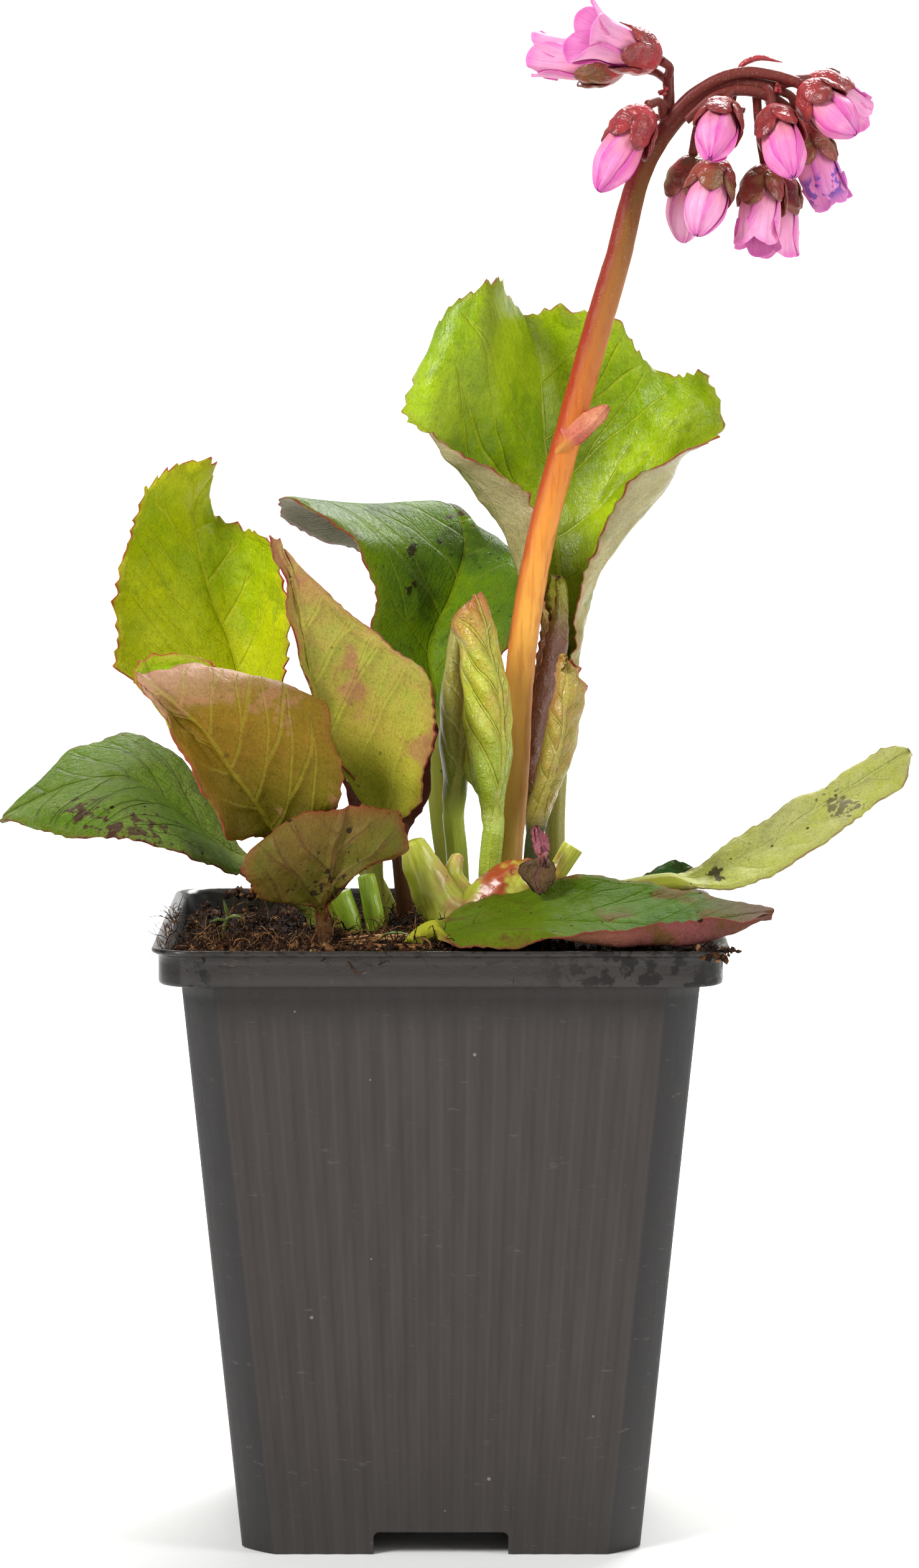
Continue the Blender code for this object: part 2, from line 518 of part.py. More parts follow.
# bloom: start and bend of its stalk, foot of its calyx, tip of its petals, flare of the mouth
# and turn about its own axis
BLOOMS = [
    ((34.2, 0.5, 238.0), (32.0, 3.5, 239.6), (26.5, 6.0, 240.4), (11.5, 8.0, 242.8), 1.05, 10),
    ((34.2, 0.5, 238.5), (34.3, -1.0, 240.2), (32.0, -2.5, 241.5), (19.0, -7.0, 246.0), 1.35, 40),
    ((33.5, 0.0, 231.5), (32.5, -3.5, 234.5), (30.2, -5.5, 233.0), (22.6, -8.0, 219.8), 0.70, 0),
    ((46.0, 0.0, 237.5), (44.5, -1.5, 236.2), (43.0, -4.0, 233.6), (40.5, -15.0, 225.0), 0.60, 20),
    ((49.5, 0.0, 237.3), (50.8, -1.8, 236.0), (51.2, -4.0, 232.8), (54.0, -13.0, 222.0), 0.65, 50),
    ((45.0, 0.0, 237.5), (44.0, 0.6, 231.0), (42.2, -5.0, 224.5), (38.5, -9.0, 212.6), 0.75, 30),
    ((42.0, 0.0, 236.0), (39.5, 4.5, 231.5), (38.4, 6.0, 225.2), (37.0, 8.0, 211.5), 0.70, 5),
    ((48.5, 0.0, 237.3), (49.2, 0.8, 230.0), (50.0, 0.0, 223.5), (48.5, -4.0, 210.0), 0.95, 15),
    ((50.0, 0.5, 237.2), (52.0, 6.5, 231.0), (52.5, 8.5, 223.2), (53.0, 9.5, 209.0), 0.90, 45),
    ((51.5, 0.0, 237.0), (54.5, -1.5, 237.6), (56.5, -3.0, 236.6), (64.5, -8.0, 229.0), 0.65, 0),
    ((51.5, 0.0, 237.0), (55.0, 3.0, 238.3), (58.0, 5.5, 238.0), (67.0, 10.5, 232.0), 0.80, 25),
    ((51.0, 0.0, 236.8), (54.5, 0.8, 235.3), (55.6, 1.5, 231.0), (61.8, 2.5, 217.0), 0.80, 35),
]
BLOOM_RADIUS = 3.4
CALYX_SHARE = 0.52
LOBES = 5


def bloom_frame(foot, tip, turn):
    """Directions along and across one bloom, turned about its own axis, and its length."""
    foot, tip = np.asarray(foot, float), np.asarray(tip, float)
    length = np.linalg.norm(tip - foot)
    axis = (tip - foot) / length
    across = unit(np.cross(axis, (0.3, 1.0, 0.2)))
    out = np.cross(axis, across)
    c, s = math.cos(math.radians(turn)), math.sin(math.radians(turn))
    return foot, axis, across * c + out * s, out * c - across * s, length


def bell(share, flare):
    """Radius of the bell of petals, by its share of the bloom's length from the foot.

    It swells as a quarter sine up to 60 % of the length, then eases to its mouth.
    """
    swell = 0.40 + 0.60 * np.sin(np.clip(share / 0.6, 0.0, 1.0) * math.pi / 2)
    mouth = np.clip((share - 0.6) / 0.4, 0.0, 1.0)
    return BLOOM_RADIUS * (swell + (flare - 1.0) * mouth**2 * (3 - 2 * mouth))


def place(frame, distance, radius, angle):
    """Points at a distance along a bloom, a radius from its axis and an angle about it."""
    foot, axis, across, out, _ = frame
    return (foot + axis * distance[..., None] + across * (radius * np.cos(angle))[..., None]
            + out * (radius * np.sin(angle))[..., None])


def sheet_faces(rows, count):
    """Triangles of a closed thin sheet: a top grid, the same grid below it, and its rim."""
    low = rows * count
    faces = []
    for i in range(rows - 1):
        for j in range(count - 1):
            a = i * count + j
            b, c, d = a + 1, a + count + 1, a + count
            faces += [(a, b, c), (a, c, d), (low + a, low + c, low + b), (low + a, low + d, low + c)]
    rim = ([(0, j) for j in range(count - 1)] + [(i, count - 1) for i in range(rows - 1)]
           + [(rows - 1, count - 1 - j) for j in range(count - 1)]
           + [(rows - 1 - i, 0) for i in range(rows - 1)])
    ids = [i * count + j for i, j in rim]
    for k, a in enumerate(ids):
        b = ids[(k + 1) % len(ids)]
        faces += [(b, a, low + a), (b, low + a, low + b)]
    return faces


def make_petals(name, frame, flare):
    """Five petals that overlap like a pinwheel, joined by a small core in the calyx."""
    length = frame[4]
    share = np.array([0.14, 0.48, 0.80, 1.0])[:, None]
    spread = np.array([0.36, 0.66, 0.68, 0.36])[:, None]
    t = np.array([-1.0, 0.0, 1.0])[None, :]
    petals = []
    for k in range(LOBES):
        angle = 2 * math.pi * k / LOBES + spread * t
        lap = PETAL_LAP * t * np.clip(share * 4.0 - 0.5, 0.0, 1.0)
        droop = length * (share - 0.05 * t**2 * (share > 0.9))
        skins = [place(frame, droop + 0 * t, bell(share, flare) + lap + half, angle)
                 for half in (0.0, -PETAL_THICK)]
        points = np.concatenate([skin.reshape(-1, 3) for skin in skins])
        petals.append(solid(name, points, sheet_faces(*angle.shape), "petal_pink"))
    foot, axis = frame[0], frame[1]
    core_ends = [foot + axis * length * s for s in (0.08, 0.16, 0.24)]
    core = tube("core", core_ends, [1.5, 2.0, 1.7], 8, 1)
    first = petals[0]
    combine(first, petals[1:] + [core], "UNION")
    first.name = name
    return first


def make_calyx(name, frame, flare):
    """The cup of five sepals round the foot of the petals, closed below."""
    length = frame[4]
    count = LOBES * 2
    angle = 2 * math.pi * (np.arange(count) + 0.5) / count + 0.3
    lobe = np.where(np.arange(count) % 2, 1.0, 0.72)
    outer_rows = [(-1.0, 0.0), (0.0, 0.6), (0.25, 1.0), (0.62, 1.0), (1.0, 1.0)]
    inner_rows = [(1.0, 0.0), (0.5, 0.0), (0.1, -0.5)]
    rings = []
    for level, fat in outer_rows + inner_rows:
        distance = np.maximum(level, 0.0) * CALYX_SHARE * length * (lobe if level > 0.3 else 1.0 + 0 * lobe)
        distance = distance + min(level, 0.0) * (CALYX_FOOT - GAP / 2)
        hollow = bell(distance / length, flare) + 0.55 + GAP
        radius = hollow + fat * CALYX_THICK if fat >= 0.0 else hollow * 0.55
        radius = radius * 0.45 if level < 0.0 else radius
        rings.append(place(frame, distance + 0.0, radius, angle))
    faces = []
    for i in range(len(rings) - 1):
        for j in range(count):
            a, b = i * count + j, i * count + (j + 1) % count
            faces += [(a, b, b + count), (a, b + count, a + count)]
    faces.append(tuple(range(count))[::-1])
    faces.append(tuple((len(rings) - 1) * count + j for j in range(count)))
    return solid(name, np.concatenate(rings), faces, "calyx_red")


def make_stem():
    """The flower stem with its side branch, two bracts and a stalk for each bloom."""
    stem = tube("flower_stem", STEM_LINE, STEM_RADII, 9, 18, "stem_flesh")
    limbs = [tube("branch", BRANCH_LINE, [1.1, 0.9, 0.8], 6, 3),
             tube("bract", BRACT_LINE, [0.8, 1.5, 1.3, 0.5], 6, 4),
             tube("strap", STRAP_LINE, [0.5, 0.5, 0.7, 0.35], 6, 5)]
    for start, bend, foot, tip, _, _ in BLOOMS:
        end = np.array(foot) - unit(np.subtract(tip, foot)) * (CALYX_FOOT + GAP)
        limbs.append(tube("pedicel", [start, bend, end], [0.75, 0.7, 0.7], 5, 3))
    return combine(stem, limbs, "UNION", "MANIFOLD")


# Crown: two swollen lobes and a cut leaf stub, as lines of the middle with radii
CROWN_LOBES = [
    ([(1.5, -19, 96), (-1.0, -18, 101), (-5.0, -17.5, 108), (-7.0, -17, 113.5)], [2.8, 3.7, 3.4, 2.9]),
    ([(0.0, -18, 99), (4.0, -17, 103.5), (9.0, -16, 107), (14.0, -14, 108.5)], [3.0, 4.3, 4.4, 2.6]),
    ([(13.0, -13, 104), (16.0, -12.5, 109), (18.5, -12, 113)], [1.6, 1.6, 1.7]),
]
STUBS = {
    "cut_stub_wide": [(-16.5, -20, 92), (-17.5, -20, 101), (-19.5, -20, 106.5)],
    "cut_stub_split": [(-12.6, -20, 92), (-13.8, -20, 102), (-15.2, -20, 109.5)],
}
STUB_RADII = [1.6, 1.6, 1.7]


def make_crown(name, grow=0.0):
    """The creeping crown, or with grow the hollow that it lies in."""
    lobes = [tube(name, line, radii, 9, 5, "crown_flesh", grow) for line, radii in CROWN_LOBES]
    return combine(lobes[0], lobes[1:], "UNION")


WITHERED_SCALE = dict(
    finish="scale_dry", radius=0.5,
    stalk=[(14, -16, 112.3), (14, -18.5, 112.6), (13.6, -21, 112.4)],
    blade=[((15.5, -22.5, 111.5), (13.5, -23, 111.5), (10.5, -23, 112)),
           ((15.5, -24, 109.5), (12.5, -24.5, 109.5), (9.5, -24, 110.5)),
           ((14, -25, 107.3), (13, -25.5, 107), (11.5, -25, 108))],
    cup=[(0.2, 0.2)] * 3, bow=(0.1, 0.1), steps=SMALL_BLADE_STEPS)

CHIPS = {"bark_chip_back": ((-13.0, -28.0), 5.5, 14.0), "bark_chip_front": ((-10.0, -36.5), 4.5, -14.0)}
CHIP_HALF_WIDTH = 1.0
CHIP_THICK = 1.0


def make_chip(name, centre, reach, turn):
    """A splinter of bark, pointed at both ends, that lies on the compost."""
    c, s = math.cos(math.radians(turn)), math.sin(math.radians(turn))
    outline = [(-1.0, 0.0), (-0.4, -1.0), (0.5, -0.8), (1.0, 0.1), (0.4, 0.9), (-0.5, 0.8)]
    flat = np.array([(centre[0] + c * reach * a - s * CHIP_HALF_WIDTH * b,
                      centre[1] + s * reach * a + c * CHIP_HALF_WIDTH * b) for a, b in outline])
    spots = centre + np.linspace(-1.0, 1.0, 21)[:, None] * reach * np.array([c, s])
    level = max(compost_height(spots[:, 0], spots[:, 1])) + GAP + 0.2
    points = [(x, y, level) for x, y in flat] + [(x, y, level + CHIP_THICK) for x, y in flat]
    n = len(flat)
    faces = [tuple(range(n))[::-1], tuple(range(n, 2 * n))]
    faces += [(j, (j + 1) % n, n + (j + 1) % n, n + j) for j in range(n)]
    return solid(name, points, faces, "bark")


def build():
    """Make every piece of the potted plant."""
    clear_scene()
    make_pot()
    pits = [leaf_pit(spec) for spec in LEAVES.values()]
    pits.append(tube("pit", STEM_LINE[:3], [2.7] * 3, 8, grow=GAP + 0.1))
    pits += [tube("pit", line, [r + 0.2 for r in STUB_RADII], 6, grow=GAP + 0.3) for line in STUBS.values()]
    pits.append(make_crown("pit", GAP + 0.25))
    make_compost(pits)
    for name, spec in LEAVES.items():
        make_leaf(name, spec)
    make_crown("crown")
    for name, line in STUBS.items():
        tube(name, line, STUB_RADII, 7, 0, "crown_flesh")
    make_leaf("withered_scale", WITHERED_SCALE)
    make_stem()
    for k, (_, _, foot, tip, flare, turn) in enumerate(BLOOMS, 1):
        frame = bloom_frame(foot, tip, turn)
        make_calyx(f"calyx_{k:02d}", frame, flare)
        make_petals(f"petals_{k:02d}", frame, flare)
    for name, (centre, reach, turn) in CHIPS.items():
        make_chip(name, centre, reach, turn)


build()
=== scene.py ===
"""A young bergenia in flower, in its square nursery pot: the finished look over the solid model.

Lengths in the sections below are millimetres, in the frame of the solid model: X to the right,
Y away from the front and Z up from the ground. They become metres when a mesh is made. The
camera, the lamps and the places that materials read are in metres from the start.
"""
import math

import bpy
import numpy as np
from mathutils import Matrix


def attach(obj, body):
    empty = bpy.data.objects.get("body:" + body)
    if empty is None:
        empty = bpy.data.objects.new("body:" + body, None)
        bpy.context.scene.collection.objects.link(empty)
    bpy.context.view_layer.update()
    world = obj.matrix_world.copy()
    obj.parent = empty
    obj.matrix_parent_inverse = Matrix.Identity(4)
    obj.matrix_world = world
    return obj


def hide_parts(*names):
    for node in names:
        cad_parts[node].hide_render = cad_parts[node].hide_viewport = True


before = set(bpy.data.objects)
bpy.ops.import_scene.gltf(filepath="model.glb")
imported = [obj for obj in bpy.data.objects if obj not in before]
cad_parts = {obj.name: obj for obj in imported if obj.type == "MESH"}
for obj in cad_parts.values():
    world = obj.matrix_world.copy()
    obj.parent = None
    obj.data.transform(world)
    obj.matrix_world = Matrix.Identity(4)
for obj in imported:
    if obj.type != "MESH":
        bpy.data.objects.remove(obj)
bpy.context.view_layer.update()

# The camera stands in front of the pot, a little above the leaves, and looks slightly down,
# so that the front of the rim hides the compost and the flower head meets the top edge.
CAMERA_PLACE = (0.0, -0.945, 0.210)
CAMERA_TILT = 84.7
CAMERA_LENS = 131.57
camera = bpy.data.objects.new("camera", bpy.data.cameras.new("camera"))
bpy.context.scene.collection.objects.link(camera)
camera.location = CAMERA_PLACE
camera.rotation_euler = (math.radians(CAMERA_TILT), 0.0, 0.0)
camera.data.lens = CAMERA_LENS
camera.data.sensor_fit = "VERTICAL"
camera.data.sensor_height = 36.0
camera.data.clip_start = 0.02
bpy.context.scene.camera = camera


# The ground is one white sheet that lies flat under the pot and curves up far behind it. A
# white sky and three soft lamps light it: a broad one up on the left, one on the right, and
# one behind that gives the leaves and the rim their bright edges.
SWEEP_HALF = 2600.0
SWEEP_FRONT = -700.0
SWEEP_BACK = 1500.0
SWEEP_RADIUS = 900.0
SWEEP_TOP = 2600.0

# The paper glows for the camera alone. The glow sets in at one distance from the pot and is
# full at another, both in metres.
GLOW = 0.6
GLOW_FROM = 0.08
GLOW_FULL = 0.45
SKY_LIGHT = 0.25


def paint(code):
    """A colour written in hex as red, green and blue, in the linear values that shaders use."""
    levels = [int(code[i:i + 2], 16) / 255 for i in (0, 2, 4)]
    return tuple(p / 12.92 if p <= 0.04045 else ((p + 0.055) / 1.055) ** 2.4 for p in levels) + (1.0,)


class Field:
    """A value, colour or place that changes over a surface, on which sums are written as usual."""

    def __init__(self, tree, socket):
        self.tree = tree
        self.socket = socket

    def part(self, key):
        """Another output of the same node."""
        return Field(self.tree, self.socket.node.outputs[key])

    def __add__(self, other):
        return calc("ADD", self, other)

    def __sub__(self, other):
        return calc("SUBTRACT", self, other)

    def __rsub__(self, other):
        return calc("SUBTRACT", other, self)

    def __mul__(self, other):
        return calc("MULTIPLY", self, other)

    def __truediv__(self, other):
        return calc("DIVIDE", self, other)

    def __abs__(self):
        return calc("ABSOLUTE", self)


def put(kind, inputs, output=0, tree=None, **settings):
    """One output of a new node, whose inputs are set to values or linked to fields.

    The node goes into the given tree, or else into that of its first field.
    """
    tree = tree or next(value.tree for value in inputs.values() if isinstance(value, Field))
    made = tree.nodes.new("ShaderNode" + kind)
    for key, value in settings.items():
        setattr(made, key, value)
    for key, value in inputs.items():
        if isinstance(value, Field):
            tree.links.new(value.socket, made.inputs[key])
        else:
            made.inputs[key].default_value = value
    return Field(tree, made.outputs[output])


def calc(operation, *values):
    """One sum on one value or more."""
    return put("Math", dict(enumerate(values)), operation=operation)


def blend(factor, first, second, mode="MIX"):
    """The first colour turned into the second by a factor, or changed by it as the mode says."""
    return put("Mix", {0: factor, 6: first, 7: second}, 2, data_type="RGBA", blend_type=mode)


def between(value, low, high):
    """0 at low, 1 at high and a smooth change between, whichever of the two is the greater."""
    return put("MapRange", {"Value": value, "From Min": low, "From Max": high},
               interpolation_type="SMOOTHSTEP")


def cloud(place, scale, detail=2.0, rough=0.5, bend=0.0):
    """Soft noise from 0 to 1, with a scale in features to a unit of length."""
    return put("TexNoise", {"Vector": place, "Scale": scale, "Detail": detail, "Roughness": rough,
                            "Distortion": bend})


def new_material(name, **constants):
    """A material, the place on its object, and its principled shader with constant values."""
    made = bpy.data.materials.new(name)
    made.use_nodes = True
    shader = made.node_tree.nodes["Principled BSDF"]
    for key, value in constants.items():
        shader.inputs[key.replace("_", " ")].default_value = value
    return made, put("TexCoord", {}, "Object", made.node_tree), shader


def wire(shader, colour, rough, height=None, depth=0.0002):
    """Links a colour, a roughness and a height, of which 1 stands for depth metres, to a shader."""
    colour.tree.links.new(colour.socket, shader.inputs["Base Color"])
    rough.tree.links.new(rough.socket, shader.inputs["Roughness"])
    if height is not None:
        bump = put("Bump", {"Height": height, "Distance": depth})
        bump.tree.links.new(bump.socket, shader.inputs["Normal"])


def new_mesh(name, points, faces, marks, material):
    """A smooth mesh object from points in millimetres, arrays of faces and named point vectors."""
    points = np.asarray(points, float).reshape(-1, 3)
    corners = np.concatenate([np.asarray(f).ravel() for f in faces])
    totals = np.concatenate([np.full(len(f), np.shape(f)[1]) for f in faces])
    mesh = bpy.data.meshes.new(name)
    mesh.vertices.add(len(points))
    mesh.vertices.foreach_set("co", (points * 0.001).ravel())
    mesh.loops.add(len(corners))
    mesh.loops.foreach_set("vertex_index", corners)
    mesh.polygons.add(len(totals))
    mesh.polygons.foreach_set("loop_start", np.cumsum(totals) - totals)
    mesh.polygons.foreach_set("use_smooth", np.ones(len(totals), bool))
    for label, values in marks.items():
        layer = mesh.attributes.new(label, "FLOAT_VECTOR", "POINT")
        layer.data.foreach_set("vector", np.asarray(values, float).ravel())
    mesh.update(calc_edges=True)
    mesh.materials.append(material)
    made = bpy.data.objects.new(name, mesh)
    bpy.context.scene.collection.objects.link(made)
    return made


def lattice(rows, columns, start=0, ring=False, flip=False):
    """Four-cornered faces between the points of a grid. A ring joins its last column to its first."""
    i, j = np.meshgrid(np.arange(rows - 1), np.arange(columns if ring else columns - 1), indexing="ij")
    k = (j + 1) % columns
    quads = np.stack([i * columns + j, i * columns + k, (i + 1) * columns + k, (i + 1) * columns + j],
                     axis=-1).reshape(-1, 4) + start
    return quads[:, ::-1] if flip else quads


turn = np.linspace(0.0, math.pi / 2, 17)
sweep_y = np.concatenate([[SWEEP_FRONT], SWEEP_BACK - SWEEP_RADIUS * (1.0 - np.sin(turn)), [SWEEP_BACK]])
sweep_z = np.concatenate([[0.0], SWEEP_RADIUS - SWEEP_RADIUS * np.cos(turn), [SWEEP_TOP]])
sweep_x = np.array([-SWEEP_HALF, SWEEP_HALF])
sweep = np.stack([np.tile(sweep_x, (len(sweep_y), 1)), np.repeat(sweep_y[:, None], 2, axis=1),
                  np.repeat(sweep_z[:, None], 2, axis=1)], axis=-1)
paper, place, shader = new_material("white_paper", Specular_IOR_Level=0.05,
                                   Emission_Color=(1.0, 1.0, 1.0, 1.0))
wire(shader, blend(cloud(place, 900.0, 2.0), paint("f7f7f5"), paint("f2f2f0")),
     cloud(place, 300.0) * 0.1 + 0.5)
far_off = between(put("VectorMath", {0: place}, "Value", operation="LENGTH"), GLOW_FROM, GLOW_FULL)
glow = far_off * GLOW * put("LightPath", {}, "Is Camera Ray", place.tree)
glow.tree.links.new(glow.socket, shader.inputs["Emission Strength"])
ground = new_mesh("ground", sweep, [lattice(len(sweep_y), 2)], {}, paper)

sky = bpy.data.worlds.new("sky")
sky.use_nodes = True
sky.node_tree.nodes["Background"].inputs["Color"].default_value = (1.0, 1.0, 1.0, 1.0)
sky.node_tree.nodes["Background"].inputs["Strength"].default_value = SKY_LIGHT
bpy.context.scene.world = sky
bpy.context.scene.view_settings.view_transform = "Standard"
bpy.context.scene.view_settings.look = "None"

# name: place, where it looks, width and height, power in watts
LAMPS = {
    "lamp_left": ((-0.85, -0.75, 0.95), (0.0, 0.0, 0.14), (0.5, 0.5), 17.5),
    "lamp_right": ((1.0, -0.45, 0.55), (0.0, 0.0, 0.12), (0.4, 0.8), 5.5),
    "lamp_back": ((0.25, 0.85, 0.95), (0.0, 0.0, 0.16), (0.8, 0.4), 17.0),
}
for name, (where, aim, size, power) in LAMPS.items():
    lamp = bpy.data.objects.new(name, bpy.data.lights.new(name, "AREA"))
    bpy.context.scene.collection.objects.link(lamp)
    lamp.data.shape = "RECTANGLE"
    lamp.data.size, lamp.data.size_y = size
    lamp.data.energy = power
    lamp.location = where
    away = lamp.location - type(lamp.location)(aim)
    lamp.rotation_euler = away.to_track_quat("Z", "Y").to_euler()


# The pot is one thin moulding in black plastic. Its body tapers to the foot and has cut
# corners and shallow upright flutes. A wider band and a turned lip stiffen the top, and a
# cross of channels is raised in the floor, so each side has a notch at the foot.
POT_X = -3.0
FOOT_HALF = 32.4
BODY_TOP_HALF = 41.5
SHOULDER_Z = 94.0
BAND_HALF = 45.0
LIP_HALF = 46.1
WALL = 1.0
BODY_CORNER = 5.5
BAND_CORNER = 6.5
CHANNEL_HALF = 11.0
CHANNEL_HEIGHT = 3.6
FLOOR_TOP = 4.8
NOTCH_ROUND = 1.0
DRAIN_RADIUS = 4.0
DRAIN_REACH = 20.0
DRAIN_DEPTH = 2.6
FLUTES = 16
FLUTE_DEPTH = 0.20
FLUTE_TOP = 89.0
FLUTE_ROUND = 2.2
BODY_ROUND = 0.25
FOOT_INSET = 0.25
MOULD_LINE_Z = 9.6
HOLE_SNAP = 0.32
SIDE_STEPS = 113
CORNER_STEPS = 9


def smooth_step(value, low, high):
    """0 below low, 1 above high, and a smooth rise between."""
    t = np.clip((value - low) / (high - low), 0.0, 1.0)
    return t * t * (3.0 - 2.0 * t)


def pot_outline():
    """The points round the pot: share of its flat side, share of its corner turn, and quarter.

    A side runs from -1 to 1 along its flat part. A corner runs from 0 to 1 round its turn.
    """
    edge = CHANNEL_HALF / (FOOT_HALF - BODY_CORNER)
    bend = (CHANNEL_HALF - NOTCH_ROUND * np.array([1.0, 0.8, 0.6, 0.4, 0.2, 0.08, 0.0001, 0.0]))
    bend = bend / (FOOT_HALF - BODY_CORNER)
    side = np.unique(np.concatenate([np.linspace(-1.0, 1.0, SIDE_STEPS), bend, -bend]))
    side = side[(np.abs(np.abs(side) - edge) > 0.004) | np.isin(np.abs(side), bend)]
    corner = np.linspace(0.0, 1.0, CORNER_STEPS + 1)[1:-1]
    flat = np.concatenate([side, np.ones_like(corner)])
    round_off = np.concatenate([np.zeros_like(side), corner])
    quarter = np.repeat(np.arange(4), len(flat))
    return np.tile(flat, 4), np.tile(round_off, 4), quarter


def pot_section(half, corner, roundness, outline, inset=0.0):
    """X and Y of one section: a square of that half width whose corners are cut flat (0) or round (1).

    The inset moves each point of a side straight inwards.
    """
    flat, round_off, quarter = outline
    inner = half - corner
    angle = round_off * math.pi / 2
    out = (half - corner * round_off) * (1 - roundness) + (inner + corner * np.cos(angle)) * roundness
    side = (inner + corner * round_off) * (1 - roundness) + (inner + corner * np.sin(angle)) * roundness
    side = np.where(round_off > 0.0, side, flat * inner)
    out = out - inset
    c, s = np.cos(quarter * math.pi / 2), np.sin(quarter * math.pi / 2)
    return side * c + out * s, side * s - out * c


def tube_faces(rings, count):
    """Faces of a closed tube: rings of so many points each, with a flat face at either end."""
    last = (rings - 1) * count
    return [lattice(rings, count, ring=True), np.arange(count)[None, ::-1], last + np.arange(count)[None]]


def pot_mesh():
    """Rings from the middle of the floor outwards, up the outside, over the lip and down inside.

    The foot ring rises over the notch with rounded top corners. A flute is a cosine across the
    side, and fades out in a round top below the band and near the cut corners.
    """
    outline = pot_outline()
    flat, round_off, quarter = outline
    along_foot = np.abs(flat) * (FOOT_HALF - BODY_CORNER)
    bend = np.clip((along_foot - CHANNEL_HALF + NOTCH_ROUND) / NOTCH_ROUND, 0.0, 1.0)
    notch = CHANNEL_HEIGHT - NOTCH_ROUND * (1.0 - np.sqrt(1.0 - bend**2))
    notch = np.where((along_foot < CHANNEL_HALF - 0.00005) & (round_off == 0.0), notch, 0.0)
    foot_x, foot_y = pot_section(FOOT_HALF - FOOT_INSET, BODY_CORNER, BODY_ROUND, outline)
    rings = []
    for pull in np.concatenate([[0.01, 0.0101], np.linspace(0.03, 0.985, 34)]):
        x, y = (np.sign(v) * np.where(np.abs(v) <= CHANNEL_HALF, np.abs(v),
                                      CHANNEL_HALF + (np.abs(v) - CHANNEL_HALF) * pull)
                for v in (foot_x, foot_y))
        raised = np.minimum(np.abs(x), np.abs(y)) < CHANNEL_HALF - 0.0005
        z = np.where(raised | (pull < 0.0101), CHANNEL_HEIGHT, 0.15)
        for hole_x, hole_y in ((DRAIN_REACH, 0), (-DRAIN_REACH, 0), (0, DRAIN_REACH), (0, -DRAIN_REACH)):
            away = np.hypot(x - hole_x, y - hole_y)
            snap = np.abs(away - DRAIN_RADIUS) < HOLE_SNAP
            snap = np.where(snap, DRAIN_RADIUS / np.maximum(away, 0.1), 1.0)
            x, y = hole_x + (x - hole_x) * snap, hole_y + (y - hole_y) * snap
            z = np.where(away < DRAIN_RADIUS - HOLE_SNAP, CHANNEL_HEIGHT + DRAIN_DEPTH, z)
        rings.append((x, y, z))
    rings.append((foot_x, foot_y, np.maximum(notch, 0.05)))
    for rise in np.concatenate([[0.0, 0.004], np.linspace(0.012, 0.5, 16), np.linspace(0.53, 1.0, 20)]):
        z = notch + FOOT_INSET * (rise == 0.0) + (SHOULDER_Z - 0.1 - notch) * rise
        half = FOOT_HALF + (BODY_TOP_HALF - FOOT_HALF) * z / SHOULDER_Z
        spot = flat * FLUTES / 2
        across = (spot - np.round(spot)) * 2.0
        top = FLUTE_TOP + FLUTE_ROUND * np.sqrt(np.clip(1.0 - across**2, 0.0, 1.0))
        flute = 0.5 + 0.5 * np.cos(math.pi * across)
        fade = smooth_step(1.0 - np.abs(flat), 0.0, 0.06) * smooth_step(top - z, 0.0, 1.2)
        fade = fade * (round_off == 0.0)
        line = 0.05 * np.exp(-((z - MOULD_LINE_Z) / 0.18) ** 2)
        inset = FLUTE_DEPTH * flute * fade - line
        rings.append((*pot_section(half, BODY_CORNER, BODY_ROUND, outline, inset), z))
    band = [(BAND_HALF - 0.9, 0.00, 1), (BAND_HALF - 0.35, 0.08, 1), (BAND_HALF - 0.08, 0.32, 1),
            (BAND_HALF, 0.75, 1), (BAND_HALF, 2.2, 1), (BAND_HALF, 3.6, 1), (BAND_HALF + 0.02, 4.6, 1),
            (BAND_HALF + 0.35, 4.95, 1), (LIP_HALF - 0.3, 5.15, 1), (LIP_HALF - 0.05, 5.35, 1),
            (LIP_HALF, 5.6, 1), (LIP_HALF - 0.08, 5.85, 1), (LIP_HALF - 0.3, 6.0, 1),
            (LIP_HALF - 0.7, 6.0, 1), (LIP_HALF - WALL, 5.8, 1), (BAND_HALF - WALL, 4.9, 1),
            (BAND_HALF - WALL, 1.4, 1), (BODY_TOP_HALF - WALL + 0.3, 0.9, 0),
            (BODY_TOP_HALF - WALL, 0.4, 0), (BODY_TOP_HALF - WALL - 1.0, -9.0, 0),
            (FOOT_HALF + 0.6 - WALL, FLOOR_TOP - SHOULDER_Z, 0)]
    for half, rise, is_band in band:
        corner, roundness = (BAND_CORNER, 1.0) if is_band else (BODY_CORNER, BODY_ROUND)
        corner = corner - (BAND_HALF - half if is_band else 0.0) * 0.5
        x, y = pot_section(half, corner, roundness, outline)
        rings.append((x, y, np.full_like(x, SHOULDER_Z + rise)))
    grid = np.stack([np.stack(np.broadcast_arrays(*ring), axis=-1) for ring in rings])
    grid[..., 0] += POT_X
    return grid, tube_faces(*grid.shape[:2])


def new_group(name, inputs, outputs):
    """An empty shader group, its inputs as fields, and its output sockets."""
    kinds = {float: "NodeSocketFloat", tuple: "NodeSocketColor"}
    group = bpy.data.node_groups.new(name, "ShaderNodeTree")
    for label, value in inputs.items():
        socket = group.interface.new_socket(label, in_out="INPUT", socket_type=kinds[type(value)])
        socket.default_value = value
    for label, kind in outputs.items():
        group.interface.new_socket(label, in_out="OUTPUT", socket_type="NodeSocket" + kind)
    start = group.nodes.new("NodeGroupInput").outputs
    given = {label: Field(group, start[label]) for label in inputs}
    return group, given, group.nodes.new("NodeGroupOutput").inputs


